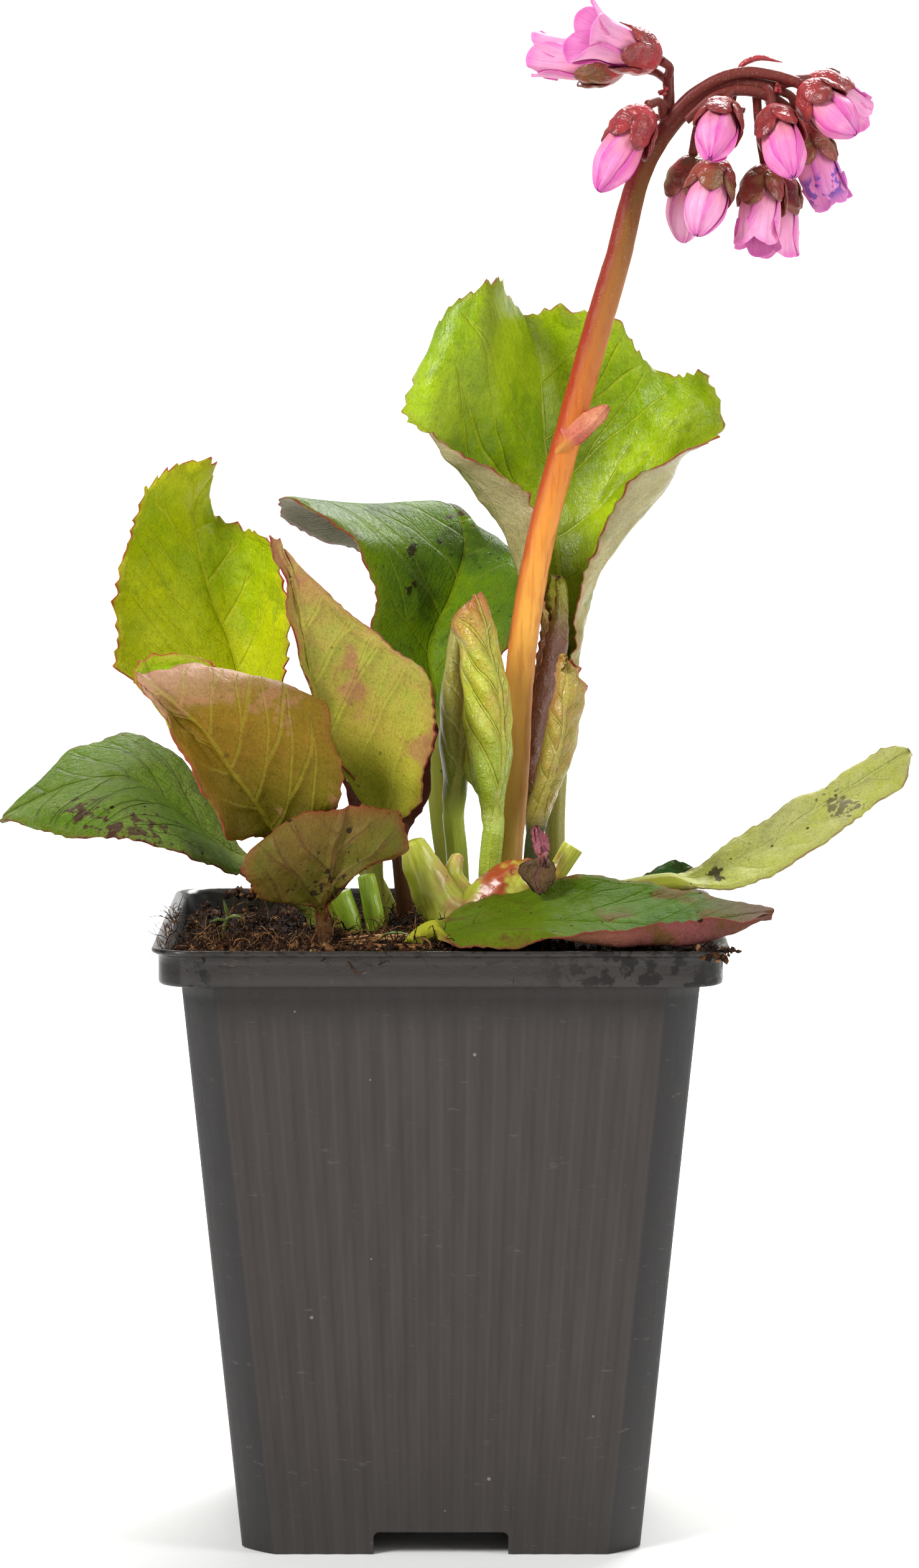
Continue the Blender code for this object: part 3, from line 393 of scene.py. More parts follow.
def tone(colour, mask, share, code):
    """A colour with a paint in hex laid over it, as strongly as the mask times its share."""
    return blend(mask * share, colour, paint(code))


def stretched(place, sizes):
    """A place whose three directions are scaled, for noise that runs in streaks."""
    return put("Mapping", {"Vector": place, "Scale": sizes})


def split(vector):
    """The three parts of a place or of another vector."""
    first = put("SeparateXYZ", {0: vector})
    return first, first.part(1), first.part(2)


# Specks: small round spots, in a share of the cells of a random pattern. The pot, the leaves,
# the crown and the stem all carry them, as dust, soil or glands.
speck_group, given, made = new_group("Specks", {"Scale": 300.0, "Size": 0.12, "Share": 0.3},
                                     {"Mask": "Float"})
place = put("TexCoord", {}, "Object", speck_group)
cell = put("TexVoronoi", {"Vector": place, "Scale": given["Scale"]}, "Color")
pick = put("SeparateColor", {0: cell})
spot = calc("LESS_THAN", cell.part("Distance"), given["Size"] * (pick.part(1) + 0.4))
mask = spot * calc("LESS_THAN", pick, given["Share"])
speck_group.links.new(mask.socket, made["Mask"])


def specks(tree, scale, size, share):
    """A mask of specks: cells to a metre, radius as a share of a cell, and share of cells."""
    return put("Group", {"Scale": scale, "Size": size, "Share": share}, 0, tree, node_tree=speck_group)


plastic, place, shader = new_material("black_plastic", Specular_IOR_Level=0.34)
right, back, up = split(place)
streak = cloud(stretched(place, (1.0, 1.0, 0.035)), 480.0, 3.0, 0.6)
wide = cloud(stretched(place, (1.0, 1.0, 0.25)), 45.0, 2.0)
grain = cloud(place, 2600.0)
colour = blend(between(streak, 0.32, 0.68), paint("3b3533"), paint("423c39"))
colour = tone(colour, between(wide, 0.35, 0.65), 0.35, "3c3633")
sideways = abs(right - POT_X / 1000)
slope = (BODY_TOP_HALF - FOOT_HALF) / SHOULDER_Z
shoulder, flute_end, inside = (size / 1000 for size in (SHOULDER_Z, FLUTE_TOP, BAND_HALF - WALL))
flat_end = up * (2 * slope) + (2 * FOOT_HALF - BODY_CORNER) / 1000
# Painted shade on the four cut corners, which are darkened nearly to black.
chamfer_shade = between(sideways + abs(back) - flat_end, -0.0003, 0.0003)
colour = tone(colour, chamfer_shade, 0.75, "16171a")
flat_half = up * slope + (FOOT_HALF - BODY_CORNER) / 1000
along_side = calc("MINIMUM", sideways, abs(back))
# Painted light and shade of the flutes: thin upright lines, a dark one and a light one to each flute, on
# the flat sides below the flute tops.
turns = along_side / flat_half * (FLUTES / 2)
wave = calc("COSINE", turns * (2 * math.pi))
flute_light_and_shade = between(up, flute_end + 0.0005, flute_end - 0.0005) * between(along_side, 0.036, 0.034)
colour = tone(colour, between(wave, -0.7, -1.0) * flute_light_and_shade, 0.22, "262220")
colour = tone(colour, between(wave, 0.8, 1.0) * flute_light_and_shade, 0.12, "5c5551")
# Painted shadow under the band: the top centimetre of the body grows darker towards it.
colour = tone(colour, between(up, shoulder - 0.01, shoulder - 0.0005), 0.4, "1c1a19")
on_band = between(up, shoulder - 0.0005, shoulder + 0.0002)
colour = tone(colour, on_band, 0.75, "3a3634")
colour = tone(colour, between(up, 0.03, 0.002), 0.35, "332f2d")
scuff = between(cloud(stretched(place, (0.25, 0.25, 1.0)), 900.0, 4.0, 0.7), 0.63, 0.72)
colour = tone(colour, scuff, 0.3, "6b6663")
wet = between(cloud(place, 260.0, 3.0, 0.6), 0.64, 0.67)
colour = tone(colour, wet, between(right, -0.0385, -0.0405) * 0.8, "151516")
dirt = between(cloud(place, 340.0, 4.0, 0.65), 0.49, 0.55)
dirty = on_band * between(right, 0.006, 0.026)
wetting = between(cloud(stretched(place, (0.6, 0.6, 1.6)), 620.0, 4.0, 0.7), 0.54, 0.6)
wetting = wetting * on_band * between(up, shoulder + 0.002, shoulder + 0.0045)
colour = tone(colour, wetting, 0.6, "141313")
colour = tone(colour, dirt * dirty, 0.95, "17120f")
# Painted shade on the inner wall above the compost, darkened nearly to black.
inner_wall_shade = between(calc("MAXIMUM", sideways, abs(back)), inside + 0.0006, inside + 0.0002)
inner_wall_shade = inner_wall_shade * between(up, shoulder + 0.0004, shoulder + 0.0008)
colour = tone(colour, inner_wall_shade, 0.8, "0d0c0c")
colour = tone(colour, specks(place.tree, 420.0, 0.1, 0.05), 0.5, "a39c95")
rough = cloud(place, 700.0, 3.0) * 0.16 + 0.36 - on_band * 0.22 + dirt * dirty * 0.3
wire(shader, colour, rough, grain * 0.3 + streak * 0.9, 0.00008)

pot_points, pot_faces = pot_mesh()
pot = new_mesh("pot_moulding", pot_points, pot_faces, {}, plastic)
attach(pot, "root")
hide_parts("pot")


# The compost is peat with bark fines, filled to the rim in front and a little lower behind.
# Its crumbs lie loose on top, and brown fibres stick out of it and hang over the rim.
COMPOST_HALF = 43.6
COMPOST_EDGE_Z = 98.0
COMPOST_MOUND = 4.0
COMPOST_SPREAD = 24.0
COMPOST_CENTRE = (1.0, -8.0)
COMPOST_STEPS = 150
DIP_CENTRE = (-36.0, 24.0)
DIP_DEPTH = 1.9
DIP_SPREAD = 30.0
CRUMBS = 1500
CRUMB_RINGS = 4
CRUMB_SIDES = 6
FIBRES = 2400
RIM_CRUMBS = 170
RIM_FIBRES = 34

# rings of the side below the rim: size against the rim's, and height
COMPOST_SIDES = [(1.0, 95.9), (0.915, 95.4), (0.90, 92.0), (0.74, 6.0)]

# small heaps on the rim: middle, reach and number of crumbs
HEAPS = [((40.5, -44.2, 99.6), 2.0, 34), ((-36.0, 40.0, 99.5), 3.0, 40), ((32.5, 41.0, 100.0), 3.5, 46)]
chance = np.random.default_rng(11)


def ripples(points, scales, seed):
    """Smooth noise about zero: for each scale, the mean of five sines in random directions.

    A scale is a wave length in the units of the points, and the n-th counts for one n-th.
    """
    rng = np.random.default_rng(seed)
    total = np.zeros(points.shape[:-1])
    for number, scale in enumerate(scales):
        for _ in range(5):
            way = rng.normal(size=points.shape[-1])
            way = way / np.linalg.norm(way) * 2 * math.pi / scale
            total += np.sin(points @ way + rng.uniform(0, 2 * math.pi)) / 5.0 / (number + 1)
    return total


def compost_level(x, y):
    """Height of the compost: the solid's mound, with lumps, lower at the back left."""
    cx, cy = COMPOST_CENTRE
    mound = COMPOST_MOUND * np.exp(-((x - cx) ** 2 + (y - cy) ** 2) / COMPOST_SPREAD**2)
    spots = np.stack([x, y], axis=-1)
    dip = DIP_DEPTH * np.exp(-((x - DIP_CENTRE[0]) ** 2 + (y - DIP_CENTRE[1]) ** 2) / DIP_SPREAD**2)
    return COMPOST_EDGE_Z - 0.3 + mound + ripples(spots, (17.0, 8.0, 4.0), 3) - dip


def compost_mesh():
    """A square of grid points pulled into the pot's round corners, with sides and a flat foot."""
    steps = np.linspace(-1.0, 1.0, COMPOST_STEPS)
    across, deep = np.meshgrid(steps, steps)
    corner = 1.0 - np.clip(np.abs(across) + np.abs(deep) - 2.0 + 0.13, 0.0, 1.0) / 2.0
    x, y = POT_X + across * corner * COMPOST_HALF, deep * corner * COMPOST_HALF
    spots = np.stack([x, y], axis=-1)
    z = compost_level(x, y) + 0.55 * np.abs(ripples(spots, (3.2, 1.7, 0.9), 8)) * 1.6
    rim = smooth_step(np.maximum(np.abs(across), np.abs(deep)), 0.95, 1.0)
    top = np.stack([x, y, z * (1 - rim) + (z - 0.7) * rim], axis=-1)
    count = COMPOST_STEPS
    edge = border(count, count)
    loop = top.reshape(-1, 3)[edge]
    skirt = [np.stack([POT_X + (loop[:, 0] - POT_X) * pull, loop[:, 1] * pull, np.full(len(loop), z)],
                      axis=-1) for pull, z in COMPOST_SIDES]
    start = count * count
    ids = [edge] + [start + number * len(loop) + np.arange(len(loop)) for number in range(len(skirt))]
    sides = [np.stack([np.roll(above, -1), above, below, np.roll(below, -1)], axis=-1)
             for above, below in zip(ids, ids[1:])]
    faces = [lattice(count, count)] + sides + [ids[-1][None, ::-1]]
    return np.concatenate([top.reshape(-1, 3)] + skirt), faces, {}


def border(rows, columns):
    """The point numbers round the edge of a grid, once round."""
    ids = np.arange(rows * columns).reshape(rows, columns)
    return np.concatenate([ids[0, :-1], ids[:-1, -1], ids[-1, :0:-1], ids[:0:-1, 0]])


def gather(parts):
    """Several parts of points, faces and marks joined into one."""
    starts = np.cumsum([0] + [len(points) for points, _, _ in parts])
    points = np.concatenate([points for points, _, _ in parts])
    faces = [face + start for start, (_, part, _) in zip(starts, parts) for face in part]
    widths = sorted({face.shape[1] for face in faces})
    faces = [np.concatenate([face for face in faces if face.shape[1] == width]) for width in widths]
    marks = {key: np.concatenate([marks[key] for _, _, marks in parts]) for key in parts[0][2]}
    return points, faces, marks


def dress(node, name, sheets, material):
    """Makes one piece of sheets, and lets it stand for the solid of that node."""
    made = new_mesh(name, *gather(sheets), material)
    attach(made, "root")
    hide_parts(node)


def crumb(place, size, rng):
    """A lumpy little ball: a few rings of points on a sphere, each point pushed in or out."""
    up = np.linspace(0.12, 0.88, CRUMB_RINGS)[:, None] * math.pi
    round_it = np.arange(CRUMB_SIDES)[None] * 2 * math.pi / CRUMB_SIDES
    far = 1.0 + rng.uniform(-0.5, 0.4, (CRUMB_RINGS, CRUMB_SIDES))
    ball = np.stack([np.sin(up) * np.cos(round_it) * far, np.sin(up) * np.sin(round_it) * far,
                     -np.cos(up) * far * 0.8], axis=-1)
    points = (ball * size * rng.uniform(0.7, 1.3, 3)).reshape(-1, 3) + place
    marks = {"tint": np.tile(rng.uniform(0, 1, 3), (len(points), 1))}
    return points, tube_faces(CRUMB_RINGS, CRUMB_SIDES), marks


def unit(vectors):
    """The same directions with length one."""
    return vectors / np.maximum(np.linalg.norm(vectors, axis=-1, keepdims=True), 1e-9)


def through(knots, rows, steps, flat=0, flat_from=0):
    """Rows of values carried smoothly through their knots and read at the steps.

    Each span is a cubic whose end slopes come from the neighbouring knots. The columns from
    flat_from on have no slope at the first flat knots.
    """
    rows = np.asarray(rows, float)
    slopes = np.gradient(rows, knots, axis=0)
    slopes[:flat, flat_from:] = 0.0
    span = np.clip(np.searchsorted(knots, steps, side="right") - 1, 0, len(knots) - 2)
    length = (knots[span + 1] - knots[span])[:, None]
    t = (steps - knots[span])[:, None] / length
    return ((2 * t**3 - 3 * t**2 + 1) * rows[span] + (t**3 - 2 * t**2 + t) * length * slopes[span]
            + (3 * t**2 - 2 * t**3) * rows[span + 1] + (t**3 - t**2) * length * slopes[span + 1])


def run_lengths(points):
    """The distance of each point from the first, along the line through them."""
    steps = np.linalg.norm(np.diff(points, axis=0), axis=1)
    return np.concatenate([[0.0], np.cumsum(steps)])


def pipe(points, radii, sides=12, steps=24, lump=0.0, seed=1, flatten=1.0, blunt=0.0,
         face=(0.05, 1.0, 0.02)):
    """A round limb: a circle carried along a smooth line through points, closed at both ends.

    Lump pushes the skin in and out by that share of the radius. Flatten scales it along the
    face direction. Blunt rounds the last end over that length. The mark is the share of the
    length, the way the skin looks to the right, and the distance along.
    """
    points = np.asarray(points, float)
    knots = run_lengths(points)
    reach = np.linspace(0.0, knots[-1], steps + 1)
    if blunt:
        reach = np.concatenate([reach[reach < knots[-1] - blunt],
                                knots[-1] - blunt + blunt * np.sin(np.linspace(0, math.pi / 2, 6))])
    path = through(knots, np.column_stack([points, radii]), reach)
    along = unit(np.gradient(path[:, :3], axis=0))
    across = unit(np.cross(along, face))
    out = np.cross(along, across)
    angle = 2 * math.pi * np.arange(sides) / sides
    ring = across[:, None] * np.cos(angle)[:, None] + flatten * out[:, None] * np.sin(angle)[:, None]
    radius = path[:, 3]
    if blunt:
        left = np.clip((knots[-1] - reach) / blunt, 0.0, 1.0)
        radius = radius * np.sqrt(np.maximum(1.0 - (1.0 - left) ** 2, 0.02))
    skin = path[:, None, :3] + ring * radius[:, None, None]
    if lump:
        skin = skin + ring * (radius[:, None] * lump * ripples(skin, (4.0, 2.0, 1.0), seed))[..., None]
    share = np.tile((reach / knots[-1])[:, None], (1, sides))
    marks = np.stack([share, unit(ring)[..., 0], np.tile(reach[:, None], (1, sides))], axis=-1)
    return skin.reshape(-1, 3), tube_faces(len(path), sides), {"limb": marks.reshape(-1, 3)}


def fibre(start, heading, length, radius, curl, rng):
    """A thin bent thread that rises or falls from its start in a loose random curve."""
    steps = [np.asarray(start, float)]
    for _ in range(4):
        heading = unit(np.asarray(heading, float) + rng.normal(size=3) * curl)
        steps.append(steps[-1] + heading * length / 4)
    points, faces, _ = pipe(steps, [radius, radius, radius * 0.9, radius * 0.7, radius * 0.3], 4, 7)
    return points, faces, {"tint": np.tile(rng.uniform(0, 1, 3), (len(points), 1))}


def marked(tree, name):
    """The point vectors of the mesh that have this name."""
    return put("Attribute", {}, "Vector", tree, attribute_name=name)


def ladder(value, stops):
    """A colour read from stops of place and hex colour, by a value from 0 to 1."""
    ramp = put("ValToRGB", {0: value})
    marks = ramp.socket.node.color_ramp.elements
    while len(marks) < len(stops):
        marks.new(0.5)
    for mark, (where, _) in zip(marks, stops):
        mark.position = where
    for mark, (where, code) in zip(marks, stops):
        mark.position = where
        mark.color = paint(code)
    return ramp


def loose_material(name, specular, stops, patches, code, grain):
    """Loose plant stuff: each bit takes its own shade from the stops, with patches of one colour.

    Patches are features to a metre, and the noise at which they begin and are full.
    """
    made, place, shader = new_material(name, Specular_IOR_Level=specular)
    shade, dry, _ = split(marked(place.tree, "tint"))
    scale, low, high = patches
    colour = blend(between(cloud(place, scale, 3.0), low, high), ladder(shade, stops), paint(code))
    wire(shader, colour, dry * 0.2 + 0.7, cloud(place, grain, 3.0), 0.0003)
    return made


peat, place, shader = new_material("peat", Specular_IOR_Level=0.1)
colour = blend(between(cloud(place, 260.0, 5.0, 0.7), 0.35, 0.65), paint("0e0906"), paint("2c1c12"))
colour = blend(between(cloud(place, 900.0, 3.0), 0.6, 0.76), colour, paint("5e3a22"))
wire(shader, colour, cloud(place, 500.0) * 0.2 + 0.72, cloud(place, 1500.0, 5.0, 0.7), 0.0006)
dress("compost", "compost_bed", [compost_mesh()], peat)

loose = loose_material("loose_peat", 0.12, [(0.0, "120b07"), (0.4, "36231a"), (0.75, "6a4428"),
                                            (1.0, "b8885a")], (1200.0, 0.4, 0.7), "2a1b13", 2600.0)
crumbs = []
for _ in range(CRUMBS):
    x, y = POT_X + chance.uniform(-42.5, 42.5), chance.uniform(-42.5, 42.5)
    bulk = 0.18 + 0.60 * chance.random() ** 2.5
    crumbs.append(crumb((x, y, compost_level(x, y) + 0.5 + bulk * 0.2), bulk, chance))
for _ in range(RIM_CRUMBS):
    x, y = POT_X + chance.uniform(-42, -8) + 3, chance.uniform(-43, -35)
    bulk = 0.2 + 0.6 * chance.random() ** 1.8
    crumbs.append(crumb((x, y, compost_level(x, y) + 0.8 + chance.random()), bulk, chance))
for middle, reach, count in HEAPS:
    for _ in range(count):
        spot = np.array(middle) + chance.normal(size=3) * (reach, 0.8, 0.6)
        crumbs.append(crumb(spot, 0.3 + 0.5 * chance.random(), chance))
dress("compost", "compost_crumbs", crumbs, loose)

fibres = []
for number in range(FIBRES):
    x, y = POT_X + chance.uniform(-42, 42), chance.uniform(-43, 43)
    if number % 3 == 0:
        x, y = POT_X + chance.uniform(-43, 2), chance.uniform(-43.5, -20)
    way = np.append(chance.normal(size=2), chance.uniform(0.0, 0.6))
    fibres.append(fibre((x, y, compost_level(x, y) + 0.5), way, chance.uniform(2, 7),
                        0.05 + 0.11 * chance.random() ** 2, 1.0, chance))
for _ in range(RIM_FIBRES):
    y = chance.uniform(-43, 20)
    fibres.append(fibre((POT_X - 44.0, y, 99.6), (-0.6, chance.normal(), 0.9), chance.uniform(3, 7),
                        0.07, 0.7, chance))
dress("compost", "compost_fibres", fibres, loose)


# The leaves. Each grows from the crown on its own stalk, which flattens into a thick glossy
# blade with a strong midrib, curved side veins that fork, and small red teeth. The formula is
# the same for all: a net of lines runs the length of the leaf, smooth along and across.
VEIN_FORK = 0.20
FORK_FROM = 6.5
VEIN_OFFSET = 0.45
RIB_GROOVE = 0.30
VEIN_GROOVE = 0.14
VEIN_RIDGE = 0.26
TOOTH_TURN = 0.72
WAVE_LENGTH = 11.0
FRILL_LENGTH = 8.3
LEAF_GREEN = "7a8a20"
LEAF_COLOURS = ("Upper", "Upper Two", "Vein", "Under", "Under Two", "Under Vein", "Edge", "Stalk", "Blotch",
                "Foot", "Tip")
LEAF_AMOUNTS = {"Foot Tint": 0.0, "Tip Tint": 0.0, "Blotches": 0.0, "Grime": 0.2, "Gloss": 0.3,
                "Vein Show": 0.5, "Flush": 0.3}
leaf_group, given, made = new_group(
    "Leaf skin", {**{label: paint(LEAF_GREEN) for label in LEAF_COLOURS}, **LEAF_AMOUNTS},
    {"Colour": "Color", "Roughness": "Float", "Height": "Float"})
place = put("TexCoord", {}, "Object", leaf_group)
leaf_place = marked(leaf_group, "leaf_place")
_, across, under = split(leaf_place)
beat, edge, blade = split(marked(leaf_group, "leaf_marks"))
share, _, beat_mm = split(marked(leaf_group, "leaf_span"))
half = abs(across)
step = beat + calc("GREATER_THAN", across, 0.0) * VEIN_OFFSET
parted = calc("MAXIMUM", half - FORK_FROM, 0.0) * VEIN_FORK
off = abs(abs(step - calc("ROUND", step)) * beat_mm - parted)
side_vein = between(off, 0.4, 0.08) * between(edge, 0.8, 5.0)
rib_half = (1.0 - share) * 0.6 + 0.22
rib = between(half / rib_half, 1.15, 0.65)
vein = calc("MAXIMUM", side_vein, rib) * blade
wide = between(cloud(place, 60.0, 3.0, 0.55), 0.36, 0.64)
fine = cloud(place, 480.0, 4.0, 0.62)
grain = cloud(place, 3200.0, 2.0)
wrinkle = cloud(stretched(leaf_place, (0.45, 1.3, 0.0)), 1.1, 3.0, 0.6, 0.6)
flat_place = stretched(leaf_place, (1.0, 1.0, 0.0))
net_wide, net_fine = (put("TexVoronoi", {"Vector": flat_place, "Scale": scale}, feature="DISTANCE_TO_EDGE")
                      for scale in (0.26, 0.9))
net = (between(net_wide, 0.04, 0.0) * 0.5 + between(net_fine, 0.08, 0.0) * 0.25) * blade
lines = calc("MINIMUM", vein + net * 0.3, 1.0)
top = blend(wide, given["Upper"], given["Upper Two"])
top = blend(between(fine, 0.42, 0.7) * 0.35, top, given["Upper Two"])
below = blend(wide, given["Under"], given["Under Two"])
below = blend(between(fine, 0.4, 0.66) * 0.5, below, given["Under Two"])
colour = blend(under, top, below)
colour = blend(between(share, 0.7, 0.15) * given["Foot Tint"], colour, given["Foot"])
colour = blend(between(share, 0.7, 1.0) * given["Tip Tint"], colour, given["Tip"])
colour = blend(lines * given["Vein Show"], colour, blend(under, given["Vein"], given["Under Vein"]))
patch = between(cloud(place, 120.0, 4.0, 0.6), 0.56, 0.66)
colour = blend(patch * given["Blotches"], colour, given["Blotch"])
stipple = between(cloud(place, 2100.0, 2.0, 0.6), 0.5, 0.66)
mottle = between(cloud(place, 170.0, 4.0, 0.65), 0.7, 0.3)
shade = grain * 0.5 + 0.8 - stipple * 0.22 + mottle * 0.12
colour = blend(1.0, colour, put("CombineColor", {0: shade, 1: shade, 2: shade}), "MULTIPLY")
colour = blend(1.0 - blade, colour, given["Stalk"])
flush = between(edge, 2.6, 0.0) * fine * given["Flush"]
colour = blend(flush * blade, colour, given["Edge"])
rim = between(edge, 0.34, 0.04) * blade * between(cloud(place, 300.0, 2.0), 0.3, 0.6)
colour = blend(rim, colour, given["Edge"])
crowd = between(cloud(place, 90.0, 2.0), 0.35, 0.65)
small_dots = specks(leaf_group, 620.0, 0.15, 0.3) * crowd
soil = calc("MAXIMUM", small_dots, specks(leaf_group, 210.0, 0.09, 0.3)) * given["Grime"]
colour = blend(soil, colour, paint("2a1c12"))
rough = given["Gloss"] + fine * 0.18 + soil * 0.3
height = fine * 0.5 + grain * 0.25 + wrinkle * 0.9 - lines * 0.6
for label, field in {"Colour": colour, "Roughness": rough, "Height": height}.items():
    leaf_group.links.new(field.socket, made[label])


def leaf_material(name, codes, foot=LEAF_GREEN, tip=LEAF_GREEN, depth=0.00022, specular=0.14, spots=(),
                  **amounts):
    """A leaf's own skin: the shared pattern with its own colours and amounts.

    The codes are the first nine leaf colours in hex, in their order. Each of the spots is a
    place in metres, its reach along X, Y and Z and its colour.
    """
    made, place, shader = new_material(name, Specular_IOR_Level=specular)
    inputs = {label: paint(code) for label, code in zip(LEAF_COLOURS, [*codes.split(), foot, tip])}
    inputs.update({label.replace("_", " ").title(): amount for label, amount in amounts.items()})
    colour = skin = put("Group", inputs, "Colour", place.tree, node_tree=leaf_group)
    for where, reach, code in spots:
        away = put("VectorMath", {0: place, 1: where}, operation="SUBTRACT")
        away = put("VectorMath", {0: away, 1: reach}, operation="DIVIDE")
        away = put("VectorMath", {0: away}, "Value", operation="LENGTH")
        ragged = away + cloud(place, 640.0, 2.0, 0.6) * 4.0
        colour = tone(colour, between(ragged, 2.75, 2.35), 0.9, code)
    wire(shader, colour, skin.part("Roughness"), skin.part("Height"), depth)
    return made


def fuller(blade, cup, bow):
    """Five lines out of three: each half row bulges down by its cup, the last along by its bow."""
    blade = np.asarray(blade, float)
    middle = blade[:, 1]
    along = unit(np.gradient(middle, axis=0))
    upper = unit(np.cross(blade[:, 2] - blade[:, 0], along))
    rows = [blade[:, 0], None, middle, None, blade[:, 2]]
    for place, end, sag, push in ((1, 0, cup[0], bow[0]), (3, 2, cup[1], bow[1])):
        chord = blade[:, end] - middle
        width = np.linalg.norm(chord, axis=1)[:, None]
        last = np.zeros((len(blade), 1))
        last[-1] = push
        rows[place] = middle + chord / 2 + width / 2 * (along * last - upper * sag)
    return np.stack(rows, axis=1)


def path_sums(steps, axis):
    """Sums of steps along an axis of a grid, from nought."""
    first = np.zeros_like(np.take(steps, [0], axis=axis))
    return np.concatenate([first, np.cumsum(steps, axis=axis)], axis=axis)


def row(height, *points):
    """One row of a blade: its points have X and Y and lie at this height, or have their own Z."""
    return [(*point, height) if len(point) == 2 else point for point in points]


def sheet_faces(rows, columns):
    """Faces of a closed sheet: an outer grid, an inner one turned over, and the rim between."""
    ids = border(rows, columns)
    low = rows * columns
    after = np.roll(ids, -1)
    rim = np.stack([after, ids, ids + low, after + low], axis=-1)
    return [lattice(rows, columns), lattice(rows, columns, low, flip=True), rim]


def leaf_sheet(stalk, radius, blade, cup=(0.1, 0.1), bow=(0.1, 0.1), rows=130, columns=101, vein_gap=7.0,
               lean=0.9, pillow=0.15, crinkle=0.2, tooth=0.7, tooth_gap=2.9, wave=0.4, seed=1, thick=0.4,
               rib_depth=0.8, relief=1.0):
    """One leaf as a closed sheet with its stalk.

    The blade is a net: rows from its foot to its tip, and in each row the same odd number of
    points from its left edge over its midrib to its right edge. A smooth curve carries the net
    along and then across. Waves and teeth move the outline outwards, side veins sink between
    low pillows and part in two far from the midrib, and the stalk is as thick as it is wide.
    """
    stalk = np.asarray(stalk, float)
    blade = fuller(blade, cup, bow) if np.shape(blade)[1] == 3 else np.asarray(blade, float)
    lines = blade.shape[1]
    middle = np.concatenate([stalk, blade[:, lines // 2]])
    foot = len(stalk)
    side = unit(blade[0, -1] - blade[0, 0])
    places = np.linspace(-1.0, 1.0, lines)
    narrow = np.tile(places[:, None] * side * radius, (foot, 1, 1))
    offsets = np.concatenate([narrow, blade - blade[:, lines // 2, None]])
    knots = run_lengths(middle)
    steps = np.concatenate([np.linspace(0.0, knots[foot - 1], max(10, rows // 6))[:-1],
                            np.linspace(knots[foot - 1], knots[-1], rows)])
    values = through(knots, np.column_stack([middle, offsets.reshape(len(middle), -1)]), steps, foot, 3)
    reach = knots[-1] - knots[foot - 1]
    share = np.clip((steps - knots[foot - 1]) / reach, 0.0, 1.0)[:, None]
    bladeness = smooth_step(steps, knots[foot - 1], knots[foot])[:, None]
    t = np.linspace(-1.0, 1.0, columns)
    crossing = values[:, 3:].reshape(len(steps), lines, 3).transpose(1, 0, 2).reshape(lines, -1)
    crossing = through(places, crossing, t).reshape(columns, len(steps), 3).transpose(1, 0, 2)
    grid = values[:, None, :3] + crossing

    span = path_sums(np.linalg.norm(np.diff(grid, axis=1), axis=-1), 1)
    climb = path_sums(np.linalg.norm(np.diff(grid, axis=0), axis=-1), 0)
    cross_mm = span - span[:, columns // 2, None]
    half = np.abs(cross_mm)
    from_side = np.where(t < 0, span, span[:, -1:] - span)
    from_tip = climb[-1:] - climb
    edge = np.minimum(from_side, from_tip)
    side_run = np.where(t < 0, climb[:, :1], climb[:, -1:] * 0.93)
    tip_run = cross_mm[-1:] + 0.0 * cross_mm
    out_side = unit(np.gradient(grid, axis=1)) * np.sign(t)[None, :, None]
    out_tip = unit(np.gradient(grid, axis=0))
    frill = 0.0
    for run, distance, out in ((side_run, from_side, out_side), (tip_run, from_tip, out_tip)):
        beat = run / tooth_gap + 0.22 * np.sin(run * 0.61 + seed) + 0.2 * np.sin(run * 0.27 + 2 * seed)
        saw = beat - np.floor(beat)
        fall = 1.0 - (saw - TOOTH_TURN) / (1.0 - TOOTH_TURN)
        saw = np.where(saw < TOOTH_TURN, (saw / TOOTH_TURN) ** 1.4, fall) - 0.35
        swell = wave * np.sin(run * 2 * math.pi / WAVE_LENGTH + seed) * np.exp(-distance / 5.0)
        size = tooth * (0.8 + 0.4 * np.sin(run * 0.43 + seed))
        grid = grid + out * ((saw * size * np.exp(-distance / 0.8) + swell) * bladeness)[..., None]
        frill = frill + wave * np.sin(run * 2 * math.pi / FRILL_LENGTH + 2 * seed) * np.exp(-distance / 4.0)

    run = share * reach + 0.0 * cross_mm
    flat_place = np.stack([run, cross_mm], axis=-1)
    beat = (run - half * lean - 0.018 * half**2) / vein_gap + 0.10 * ripples(flat_place, (19.0, 9.0), seed)
    step = beat + VEIN_OFFSET * (cross_mm > 0)
    beat_mm = vein_gap / math.hypot(1.0, lean)
    off = np.abs(np.abs(step - np.round(step)) * beat_mm - VEIN_FORK * np.clip(half - FORK_FROM, 0.0, None))
    rib = np.exp(-(half / (0.5 + 1.1 * (1.0 - share))) ** 2)
    vein = np.exp(-(off / 0.6) ** 2) * smooth_step(edge, 0.8, 5.0) * smooth_step(half, 0.0, 1.0)
    pillows = (0.5 - 0.5 * np.cos(2 * math.pi * step)) * smooth_step(from_side, 0.5, 7.0)
    crinkles = crinkle * ripples(flat_place, (9.0, 4.5, 2.4), seed + 5)
    lift = (pillow * pillows * (1 - rib) + crinkles + 0.6 * frill) * bladeness

